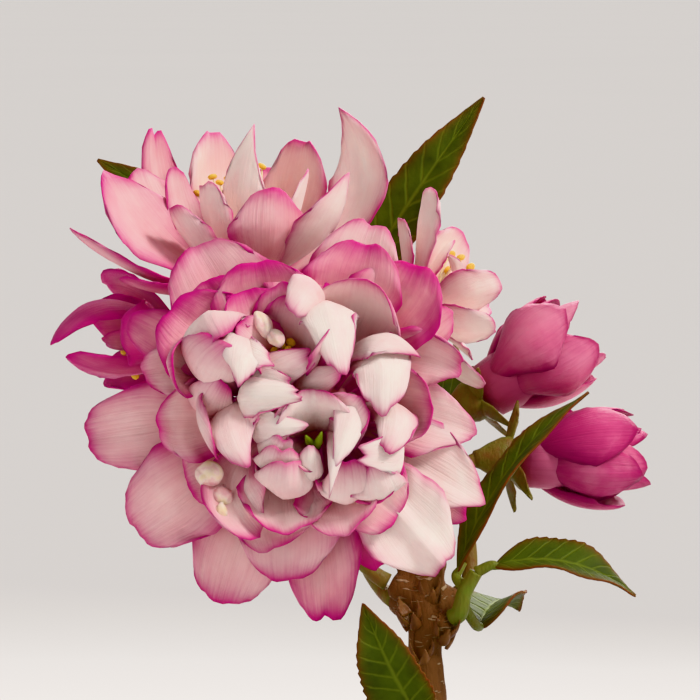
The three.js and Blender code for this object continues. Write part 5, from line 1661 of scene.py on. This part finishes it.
    @staticmethod
    def knob_lobes(share: float, angle: Array) -> Array:
        """Returns how a knob's radius varies round it: lobed, with one groove where its edges meet."""
        groove = 0.26 * np.exp(-(((angle - 2.4 - 0.9 * share) / 0.3) ** 2))
        return 1 - groove + 0.07 * np.cos(2 * angle + 1.2 + 2 * share) + 0.03 * np.cos(5 * angle + 5 * share)


# Shoots


class LeafPlace(NamedTuple):
    """Where a leaf springs from its stem, and where its blade lies."""

    share: float
    foot: Array
    tip: Array
    face: Array
    width: float
    arch: float


@dataclass(frozen=True)
class Shoot:
    """A green stem with its leaves.

    Attributes:
        name: The shoot's node.
        spur: The foot and the end of the spur of wood that it springs from.
        stem: The points that its stem passes through.
        leaves: Its leaves.
    """

    name: str
    spur: tuple[Array, Array]
    stem: tuple[Array, ...]
    leaves: tuple[LeafPlace, ...]

    def build(self, blank: Blank) -> None:
        """Builds and dresses the stem and its leaves.

        Args:
            blank: The flat sheet that leaves are bent from.
        """
        foot, end = self.spur
        outward = unit(end - foot)
        start = end + 0.3 * outward
        count = 24
        path = catmull_rom([start, start + 0.8 * outward, *self.stem], count)
        stems = [sweep(path, np.linspace(0.8, 0.6, count), 14)]
        blades = []
        for k, leaf in enumerate(self.leaves):
            origin = path[round(leaf.share * (count - 1))]
            axis = leaf.tip - leaf.foot
            pull = np.linalg.norm(leaf.foot - origin) * 0.5
            bend = leaf.foot - unit(axis) * pull * 0.6
            stalk = bezier(origin, mix(origin, leaf.foot, 0.5), bend, leaf.foot, 12)
            stalk = np.vstack([stalk, leaf.foot + axis * 0.06])
            stems.append(sweep(stalk, np.array([*np.linspace(0.5, 0.42, 12), 0.22]), 10))
            blade = Leaf(
                float(np.linalg.norm(axis)), leaf.width, pick=(k * 0.37) % 1, foot=leaf.foot, tip=leaf.tip,
                face=leaf.face, arch=leaf.arch, phase=1.3 * k,
            )
            blades.append(blade.shell(blank))
        Workshop.make(f"{self.name}_leaves", blades, Finish.LEAF, "leaf", self.name)
        Workshop.make(f"{self.name}_stem", stems, Finish.STEM, "leaf")


SHOOTS = (
    Shoot("tip_shoot", (spray(10.8, -20.6, 9.2), spray(13, -18.8, 7.6)),
          (spray(14.2, -16.4, 6.8), spray(15.2, -14.6, 6.6)), (
        LeafPlace(0.6, spray(13.6, -14.8, 8), spray(25.2, 1, 10), heading(-0.5, 0.5, -0.35), 3.8, 1.8),
        LeafPlace(1, spray(16.8, -14, 6.4), spray(29, -16.6, 6), heading(0.1, 0.85, -0.5), 5, 1.8),
        LeafPlace(0.35, spray(15.6, -19.6, 10), spray(19.6, -19, 23), heading(-0.3, 0.5, -0.8), 5.4, 1.4),
    )),
    Shoot("back_shoot", (spray(10.8, -20.4, 9.2), spray(10.4, -19.4, 13)),
          (spray(9, -11, 19.8), spray(5.4, 1, 23), spray(2.6, 7, 23)), (
        LeafPlace(1, spray(4.4, 9.8, 22.8), spray(16.4, 27.6, 20), heading(-0.2, 0.1, -1), 5, 1.2),
        LeafPlace(1, spray(0, 9.6, 24.2), spray(-19, 22.2, 25), heading(0.1, 0.3, -1), 5, 1.2),
        LeafPlace(0.5, spray(10.4, -5, 23), spray(18, 3, 29), heading(-0.2, 0.6, 0.5), 6, 1.6),
        LeafPlace(0.55, spray(3, -4, 23.6), spray(-11, -7, 31), heading(-0.2, 0.6, 0.7), 6.4, 1.6),
    )),
    Shoot("low_tip_shoot", (point(5, -5, 110), point(4.4, -8, 111)), (point(4, -10.4, 112.4),), (
        LeafPlace(1, spray(10.6, -27.4, 2.4), spray(5.4, -16.8, -1.4), heading(-0.35, 0.1, -0.9), 5.6, 1),
        LeafPlace(0.5, spray(14, -30.4, 3), spray(27, -33, -3), heading(0, 0.9, -0.3), 6.4, 2),
    )),
    Shoot("left_shoot", (point(-36, -6, 75), point(-38.6, -5, 76)), (point(-43, -2, 76), point(-48, 0, 75)), (
        LeafPlace(1, point(-50.6, 0.6, 74.6), point(-68, 5, 67), point(-0.2, 0, 1), 7, 2),
        LeafPlace(0.75, point(-46.6, -3.2, 74), point(-54, -20, 64), point(-0.2, -0.2, 1), 7, 2),
        LeafPlace(0.4, point(-41.4, -4.4, 73), point(-42, -22, 65), point(0, -0.2, 1), 6, 1.6),
        LeafPlace(0.9, point(-48.6, 2.6, 73.4), point(-57, 19, 66), point(-0.2, 0.2, 1), 7, 2),
    )),
    Shoot("right_shoot", (point(38, 3, 67), point(40.4, 2.6, 66.4)), (point(46, 1, 65), point(51, 0, 64)), (
        LeafPlace(1, point(53.4, -0.4, 64), point(70, -3, 60), point(0.2, 0, 1), 7, 2.4),
        LeafPlace(0.8, point(49, -2.8, 63.4), point(60, -18, 56), point(0.2, -0.2, 1), 7, 2),
        LeafPlace(0.45, point(44.8, -0.8, 64), point(46, -18, 58), point(0, -0.2, 1), 6.4, 1.8),
        LeafPlace(0.9, point(50.6, 2.4, 63), point(64, 14, 60), point(0.2, 0.2, 1), 6.4, 1.6),
    )),
    Shoot("back_left_shoot", (point(1, 34.6, 75), point(-0.8, 37, 73.8)),
          (point(-4, 42, 70.6), point(-7, 47, 68.6)), (
        LeafPlace(1, point(-8, 49.4, 68), point(-16, 64, 62), point(0, 0.2, 1), 7, 2.2),
        LeafPlace(0.7, point(-7, 43.4, 69), point(-22, 46, 62), point(-0.2, 0.2, 1), 6.6, 2),
        LeafPlace(0.6, point(-2.4, 44.6, 69.6), point(6, 58, 62), point(0.2, 0.2, 1), 6.6, 2),
    )),
    Shoot("front_shoot", (point(14.4, -29, 57), point(15.4, -31, 55.6)),
          (point(17, -35, 52.4), point(18, -39, 50)), (
        LeafPlace(1, point(18.6, -41, 49.4), point(24, -54, 44), point(0, -0.2, 1), 6.6, 1.8),
        LeafPlace(0.75, point(15.4, -38, 50.6), point(3, -46, 46), point(-0.2, -0.2, 1), 6.6, 2),
        LeafPlace(0.55, point(19.6, -36.4, 51.6), point(33, -38, 47), point(0.2, 0, 1), 6.6, 2),
    )),
    Shoot("mid_shoot", (point(-2, -1, 92), point(-4.4, 1, 93.6)),
          (point(-8, 3.4, 94.6), point(-11, 5, 94.4)), (
        LeafPlace(1, point(-13, 5.6, 94.4), point(-28, 9, 91), point(-0.2, 0, 1), 6.6, 2.2),
        LeafPlace(0.8, point(-10.6, 7.4, 93.8), point(-16, 21, 89), point(-0.2, 0.2, 1), 6.6, 2),
        LeafPlace(0.6, point(-8.8, 1.4, 94), point(-19, -9, 91), point(-0.2, -0.2, 1), 6.4, 1.8),
    )),
)


# Wood


@dataclass
class Wood:
    """Root flare, trunk, branches and spurs as one grown piece with bark in relief.

    Attributes:
        voxel: The size of the grid that joins the limbs, in millimetres.
        spur_radius: Of the short spurs that bear blooms and shoots.
        relief: How deep the bark's furrows are on thick wood, in millimetres.
        furrow_size: How far the furrows lie apart along each axis, in millimetres.
        bump_size: The same for the fine bumps.
        trunk: The points that the trunk passes through.
        branches: Each branch's radius at its foot and at its end, and the points that it passes through.
        roots: Each root's bearing in degrees, its reach and its radius at the trunk.
    """

    voxel: float = 0.42
    spur_radius: float = 1.05
    relief: float = 0.75
    furrow_size: tuple[float, float, float] = (1.7, 1.7, 5.0)
    bump_size: float = 1.1
    trunk: list[Array] = field(default_factory=lambda: [
        point(-11, 4, 22), point(-9, 4, 34), point(-3, 3, 48), point(4, 1, 60), point(4, 0, 74),
        point(-1, -1, 88), point(-1, -2, 100), point(3, -4, 110),
        spray(10.8, -20.4, 9), spray(11, -14.6, 9.8),
    ])
    branches: list[tuple[float, float, list[Array]]] = field(default_factory=lambda: [
        (3.6, 1.5, [
            point(2, 2, 56), point(-9, -1, 62), point(-22, -5, 66), point(-31, -6, 71.4), point(-37, -6, 76),
        ]),
        (3.2, 1.5, [
            point(4, 1, 66), point(15, 3, 66), point(27, 2, 63), point(35, 2, 66), point(38.4, 3.4, 68.4),
        ]),
        (3.0, 1.4, [
            point(4, 0, 70), point(6, 10, 73), point(5, 22, 71), point(3, 31, 74), point(2.4, 36, 76.4),
        ]),
        (3.0, 1.4, [
            point(0, 2, 50), point(5, -9, 52), point(11, -19, 52), point(14, -27, 56), point(14.6, -30, 58),
        ]),
    ])
    roots: tuple[tuple[float, float, float], ...] = (
        (200, 21, 3.6), (262, 19, 3.2), (318, 22, 3.4), (18, 20, 3.2), (84, 18, 3.0), (140, 20, 3.4),
    )

    def build(self) -> None:
        """Builds and dresses the wood and the scales at its tip."""
        wood = Workshop.mesh_object("wood_bark", [*self.trunk_and_roots(), *self.limbs()])
        Workshop.apply(wood, "REMESH", mode="VOXEL", voxel_size=self.voxel * MILLIMETRE)
        Workshop.apply(wood, "SMOOTH", factor=0.5, iterations=5)
        self.carve(wood)
        wood.data.shade_smooth()
        Workshop.finish(wood, Finish.BARK, "bark", "wood")
        Workshop.make("bud_scales", self.scales(), Finish.SCALE, "bark")

    def trunk_and_roots(self) -> list[Shell]:
        """Returns the trunk and the roots that flare from its foot."""
        count = 120
        path = catmull_rom(self.trunk, count)
        t = np.linspace(0, 1, count)
        radii = 1.3 + 6.8 * (1 - t) ** 1.3 + 3.4 * np.maximum(0, 1 - t / 0.16) ** 2

        def lobes(share: float, angle: Array) -> Array:
            """Returns the trunk's section as a share of its radius."""
            return 1 + 0.09 * np.cos(3 * angle + 4 * share) + 0.05 * np.cos(5 * angle - 9 * share + 1)

        shells = [sweep(path, radii, 48, lobes)]
        slope = ((0.08, 37), (0.38, 33.6), (0.7, 30.6), (1, 26.6))
        for bearing, reach, radius in self.roots:
            knots = [TRUNK_FOOT + around(share * reach, bearing, z) for share, z in slope]
            shells.append(sweep(catmull_rom(knots, 30), np.linspace(radius, 0.45 * radius, 30), 20))
        return shells

    def limbs(self) -> list[Shell]:
        """Returns the branches, the spurs and the swellings where spurs leave the wood."""
        shells = []
        for thick, thin, knots in self.branches:
            shells.append(sweep(catmull_rom(knots, 70), np.linspace(thick, thin, 70), 24))
        count = 12
        swell = np.linspace(1.25, 1.0, count) + 0.22 * np.sin(np.linspace(0, 6 * math.pi, count)) ** 2
        for bearer in (*FLOWERS, *SHOOTS):
            path = np.linspace(*bearer.spur, count)
            shells.append(sweep(path, self.spur_radius * swell, 14))
        return shells

    def carve(self, wood: bpy.types.Object) -> None:
        """Raises the bark's furrows and marks each vertex with the age of its wood.

        Args:
            wood: The joined wood.
        """
        local = Workshop.places(wood) / MILLIMETRE - SHIFT
        age = self.age(local)
        furrow = np.array([
            noise.turbulence(Vector(p), 3, False, noise_basis="PERLIN_ORIGINAL")
            for p in local / np.array(self.furrow_size)
        ])
        bumps = np.array([noise.noise(Vector(p)) for p in local / self.bump_size])
        Workshop.raise_skin(wood, age * self.relief * (0.55 - furrow) + 0.1 * bumps * (0.35 + age))
        wood.data.attributes.new("age", "FLOAT", "POINT").data.foreach_set("value", age.astype(np.float32))

    def age(self, local: Array) -> Array:
        """Returns the age of the wood at each point, from twig, 0, to trunk, 1."""
        count = 60
        far = np.linalg.norm(local[:, None, :] - catmull_rom(self.trunk, count)[None, :, :], axis=2)
        trunk = np.clip(1.15 - far.argmin(axis=1) / (count - 1) * 1.25, 0, 1)
        limb = ease(6, 30, far.min(axis=1))
        return trunk * (1 - limb) + 0.2 * limb

    def scales(self) -> list[Shell]:
        """Returns the brown bud scales, in four clusters round the twig's tip."""
        wander = np.random.default_rng(5)
        blank = Blank(6, 8)
        shells = []
        for place, axis in (
            (spray(9.8, -19.4, 8.0), heading(-0.3, 0.9, -0.3)),
            (spray(12.2, -20.6, 7.6), heading(0.3, 0.9, -0.3)),
            (spray(11.2, -17.4, 9.0), heading(0, 1, -0.3)),
            (spray(10.6, -22.6, 8.2), heading(-0.1, 1, -0.4)),
        ):
            basis = axes(axis, point(-0.2, 1, -0.1))
            for k in range(7):
                azimuth = GOLDEN_ANGLE * k
                scale = Sepal(
                    1.9, 1.5, pick=wander.random(), root=around(0.7, azimuth, 0.25 * k - 0.6),
                    azimuth=azimuth, lift=(62 + wander.uniform(-8, 8), 100), cup=0.9, ruffle=0.4, notch=0,
                    phase=phases(wander),
                )
                shells.append(scale.shell(blank).moved(basis, place))
        return shells


# Tray and soil


@dataclass
class Tray:
    """A plain oval tray with a soft lip, four feet and two drain holes."""

    half_length: float = 56
    depth_share: float = 0.74
    height: float = 30
    floor_top: float = 8
    lip_height: float = 4.6
    lip_step: float = 3.6
    rim_width: float = 5
    foot_height: float = 3.5
    foot_radius: float = 6
    foot_place: tuple[float, float] = (33, 22)
    drain_radius: float = 4.5
    drain_place: float = 19
    edge_softness: float = 0.9

    def profile(self) -> list[tuple[float, float]]:
        """Returns the tray's outline from the middle of its underside round to the middle of its floor."""
        length, top, low = self.half_length, self.height, self.foot_height
        lip = top - self.lip_height
        return [
            (0.001, low), (length - 14, low), (length - 9.4, low + 3), (length - self.lip_step, lip - 1),
            (length, lip), (length, top), (length - self.rim_width, top), (length - 9, self.floor_top + 5),
            (length - 12.6, self.floor_top), (0.001, self.floor_top),
        ]

    def build(self) -> None:
        """Spins, joins, softens and dresses the tray."""
        tray = self.spun_body()
        for x, y in ((1, 1), (-1, 1), (-1, -1), (1, -1)):
            place = (x * self.foot_place[0], y * self.foot_place[1], (self.foot_height + 1.5) / 2)
            foot = self.post(self.foot_radius, self.foot_height + 1.5, place)
            Workshop.apply(tray, "BOOLEAN", operation="UNION", solver="EXACT", object=foot)
            bpy.data.objects.remove(foot)
        for side in (-1, 1):
            drain = self.post(self.drain_radius, 14, (side * self.drain_place, 0, 6))
            Workshop.apply(tray, "BOOLEAN", operation="DIFFERENCE", solver="EXACT", object=drain)
            bpy.data.objects.remove(drain)
        softness = {"width": self.edge_softness * MILLIMETRE, "segments": 3}
        Workshop.apply(tray, "BEVEL", limit_method="ANGLE", angle_limit=0.6, **softness)
        Workshop.pick_only(tray)
        bpy.ops.object.shade_smooth_by_angle(angle=math.radians(35))
        Workshop.finish(tray, Finish.STONEWARE, "stoneware", "tray")

    def spun_body(self) -> bpy.types.Object:
        """Returns the tray's body, spun from its profile and drawn in from front to back."""
        outline = self.profile()
        mesh = bpy.data.meshes.new("tray_body")
        edges = [(k, k + 1) for k in range(len(outline) - 1)]
        mesh.from_pydata([(r * MILLIMETRE, 0, z * MILLIMETRE) for r, z in outline], edges, [])
        tray = Workshop.linked("tray_body", mesh)
        Workshop.pick_only(tray)
        bpy.ops.object.mode_set(mode="EDIT")
        bpy.ops.mesh.select_all(action="SELECT")
        bpy.ops.mesh.spin(steps=120, angle=2 * math.pi, center=(0, 0, 0), axis=(0, 0, 1))
        bpy.ops.mesh.select_all(action="SELECT")
        bpy.ops.mesh.remove_doubles(threshold=0.00001)
        bpy.ops.mesh.normals_make_consistent(inside=False)
        bpy.ops.object.mode_set(mode="OBJECT")
        tray.data.transform(Matrix.Diagonal((1, self.depth_share, 1, 1)))
        tray.data.transform(Matrix.Translation(Vector(SHIFT * MILLIMETRE)))
        return tray

    def post(self, radius: float, height: float, place: tuple[float, float, float]) -> bpy.types.Object:
        """Returns an upright cylinder, for a foot or a drain hole."""
        middle = (np.array(place) + SHIFT) * MILLIMETRE
        bpy.ops.mesh.primitive_cylinder_add(
            vertices=40, radius=radius * MILLIMETRE, depth=height * MILLIMETRE, location=middle,
        )
        return bpy.context.object


@dataclass
class Soil:
    """Soil that mounds up to the trunk, with grit and cushions of moss on it."""

    edge_radius: float = 50.3
    floor_radius: float = 42.8
    depth_share: float = 0.74
    edge_height: float = 26.8
    floor_height: float = 8.6
    mound: float = 3.4
    grit_count: int = 620
    bare_radius: float = 11
    cushion_count: int = 15
    cushion_bounds: tuple[float, float] = (44, 31)
    cushion_radius: float = 46

    def surface(self, x: float | Array, y: float | Array) -> float | Array:
        """Returns the height of the soil's top."""
        share = np.hypot(x, y / self.depth_share) / self.edge_radius
        return self.edge_height + self.mound * (1 - share**2)

    def build(self) -> None:
        """Builds and dresses the soil and what lies on it."""
        self.build_body()
        Workshop.make("soil_grit", self.grit(), Finish.GRIT, "soil")
        moss = Workshop.mesh_object("soil_moss", self.cushions())
        self.roughen(moss, 0.42, 1.0)
        Workshop.finish(moss, Finish.MOSS, "soil")

    def build_body(self) -> None:
        """Models the body of the soil from a cylinder whose top is inset and mounded."""
        bpy.ops.mesh.primitive_cylinder_add(vertices=120, radius=1, depth=1, end_fill_type="TRIFAN")
        soil = bpy.context.object
        soil.name = soil.data.name = "soil_body"
        Workshop.apply(soil, "TRIANGULATE")
        Workshop.apply(soil, "SUBSURF", subdivision_type="SIMPLE", levels=3, render_levels=3)
        mesh, places = soil.data, Workshop.places(soil)
        top = places[:, 2] > 0.49
        reach = mix(self.floor_radius, self.edge_radius, places[:, 2] + 0.5)
        x, y = places[:, 0] * reach, places[:, 1] * reach * self.depth_share
        side = mix(self.floor_height, self.edge_height, places[:, 2] + 0.5)
        crumbs = np.array([noise.fractal(Vector((a / 2.2, b / 2.2, 0)), 0.8, 2.0, 4) for a, b in zip(x, y)])
        z = np.where(top, self.surface(x, y) + 0.45 * crumbs, side)
        mesh.vertices.foreach_set("co", ((np.stack([x, y, z], axis=1) + SHIFT) * MILLIMETRE).ravel())
        mesh.update()
        mesh.shade_smooth()
        Workshop.finish(soil, Finish.SOIL, "soil", "soil")

    def grit(self) -> list[Shell]:
        """Returns small stones scattered over the soil."""
        bpy.ops.mesh.primitive_ico_sphere_add(subdivisions=2, radius=1)
        stone = Workshop.shell_of(bpy.context.object)
        wander = np.random.default_rng(8)
        shells = []
        for _ in range(self.grit_count):
            angle, share = wander.uniform(0, 2 * math.pi), wander.random() ** 0.5 * 0.97
            x = share * self.edge_radius * math.cos(angle)
            y = share * self.edge_radius * self.depth_share * math.sin(angle)
            if math.hypot(x - TRUNK_FOOT[0], y - TRUNK_FOOT[1]) < self.bare_radius:
                continue
            size = wander.uniform(0.55, 1.35)
            lumpy = self.lumpy(stone.points, wander.normal(0, 1, 3), (0.16, 3.1), (0.1, 5))
            squash = wander.uniform([0.7, 0.7, 0.5], [1.1, 1.1, 0.8])
            turn = np.array(Matrix.Rotation(wander.uniform(0, 6.28), 3, "Z"))
            origin = np.array([x, y, self.surface(x, y) + 0.2 * size])
            placed = replace(stone, points=(lumpy * squash * size) @ turn.T + origin)
            shells.append(placed.marked(pick=wander.random()))
        return shells

    def cushions(self) -> list[Shell]:
        """Returns low cushions of moss, most of them near the trunk."""
        bpy.ops.mesh.primitive_ico_sphere_add(subdivisions=5, radius=1)
        dome = Workshop.shell_of(bpy.context.object)
        wander = np.random.default_rng(18)
        shells = []
        for k in range(self.cushion_count):
            angle = GOLDEN_ANGLE * k / 57.3
            reach = wander.uniform(13, 17) + 1.9 * k
            x = TRUNK_FOOT[0] + reach * math.cos(angle)
            y = TRUNK_FOOT[1] + reach * self.depth_share * math.sin(angle)
            x, y = (float(np.clip(at, -bound, bound)) for at, bound in zip((x, y), self.cushion_bounds))
            if math.hypot(x, y / self.depth_share) > self.cushion_radius:
                continue
            size = wander.uniform(3.0, 6.5)
            lumpy = self.lumpy(dome.points, wander.normal(0, 1, 3), (0.14, 2.2), (0.08, 4.1))
            origin = np.array([x, y, self.surface(x, y) + 0.1])
            shells.append(replace(dome, points=lumpy * np.array([1.0, 0.86, 0.4]) * size + origin))
        return shells

    @staticmethod
    def lumpy(points: Array, sway: Array, *waves: tuple[float, float]) -> Array:
        """Returns a ball's points swelled into lumps by two waves, each a height and a pace."""
        (high, slow), (low, fast) = waves
        lumps = high * np.sin(points @ (sway * slow) + sway[0]) + low * np.sin(points @ (sway[::-1] * fast))
        return points * (1 + lumps)[:, None]

    @staticmethod
    def roughen(thing: bpy.types.Object, grain: float, height: float) -> None:
        """Raises a fine crumbly relief on an object.

        Args:
            thing: The object.
            grain: The size of its crumbs, in millimetres.
            height: How high they stand, in millimetres.
        """
        crumbs = np.array([noise.noise(Vector(p)) for p in Workshop.places(thing) / MILLIMETRE / grain])
        Workshop.raise_skin(thing, crumbs * height * 0.5)


# Studio


@dataclass
class Studio:
    """Plain pale floor, soft lights and the camera that looks at the tip spray.

    Attributes:
        distance: From the camera to the spray, in millimetres.
        view_width: What the picture shows there from side to side, in millimetres.
        sensor: The width of the camera's sensor, in millimetres.
        heart_reach: How far from the front bloom's middle its small light fades out, in millimetres.
    """

    distance: float = 300
    view_width: float = 59.5
    sensor: float = 36
    heart_reach: float = 25

    def build(self) -> None:
        """Sets up the floor, the lights and the camera."""
        bpy.ops.mesh.primitive_plane_add(size=120)
        floor = bpy.context.object
        floor.name = "studio_floor"
        floor.data.materials.append(Finish.FLOOR.material())
        self.light_world()
        self.add_camera()
        self.add_lights()
        bpy.context.scene.view_settings.view_transform = "Khronos PBR Neutral"

    def add_lights(self) -> None:
        """Adds a wide soft sun, a small light that fades out round the front bloom, a fill and a rim."""
        warm = (1.0, 0.97, 0.94)
        key = self.hang("key", "SUN", heading(222, 234, -126), 2.9, warm)
        key.angle = math.radians(16)
        offset = heading(210, 380, -420)
        heart = self.hang("heart_light", "SPOT", offset, 11.0, warm)
        heart.shadow_soft_size = 0.05
        heart.spot_size = 2 * math.atan(self.heart_reach / np.linalg.norm(offset))
        heart.spot_blend = 1.0
        self.hang("fill", "AREA", heading(-300, 40, -330), 0.4, (1.0, 0.96, 0.95)).size = 0.4
        self.hang("rim", "AREA", heading(120, 300, 360), 3.0, (1.0, 0.96, 0.94)).size = 0.3

    def light_world(self) -> None:
        """Gives the scene an even pale surround."""
        world = bpy.data.worlds.new("surround")
        world.use_nodes = True
        background = world.node_tree.nodes["Background"]
        background.inputs["Color"].default_value = (0.82, 0.78, 0.77, 1)
        background.inputs["Strength"].default_value = 0.36
        bpy.context.scene.world = world

    def add_camera(self) -> None:
        """Adds the camera at the picture's viewing angle."""
        target = spray(4.25, 4.7, 0)
        camera = bpy.data.cameras.new("camera")
        camera.sensor_width = self.sensor
        camera.lens = self.sensor * self.distance / self.view_width
        camera.clip_start, camera.clip_end = 0.01, 200
        stand = Workshop.linked("camera", camera)
        stand.location = (target - heading(0, 0, self.distance) + SHIFT) * MILLIMETRE
        stand.rotation_euler = Vector(heading(0, 0, 1)).to_track_quat("-Z", "Y").to_euler()
        bpy.context.scene.camera = stand

    def hang(self, name: str, kind: str, offset: Array, energy: float, colour: Colour) -> bpy.types.Light:
        """Hangs a light that looks at the tip spray.

        Args:
            name: The light's name.
            kind: Its type.
            offset: Its place from the front bloom.
            energy: Its power in watts, or a sun's strength.
            colour: Its colour.

        Returns:
            The light's settings.
        """
        light = bpy.data.lights.new(name, kind)
        light.energy = energy
        light.color = colour
        lamp = Workshop.linked(name, light)
        lamp.location = (SPRAY_ORIGIN + offset + SHIFT) * MILLIMETRE
        lamp.rotation_euler = Vector(-offset).to_track_quat("-Z", "Y").to_euler()
        return light


def main() -> None:
    """Builds every piece in order."""
    logging.basicConfig(level=logging.INFO, format="%(message)s")
    Studio().build()
    Tray().build()
    Soil().build()
    Wood().build()
    fine, plain, leaf_blank = Blank(16, 34), Blank(10, 16), Blank(12, 60)
    for flower in FLOWERS:
        Bloom(flower, fine, plain).build()
    for shoot in SHOOTS:
        shoot.build(leaf_blank)
    bpy.ops.object.select_all(action="DESELECT")


if __name__ == "__main__":
    main()
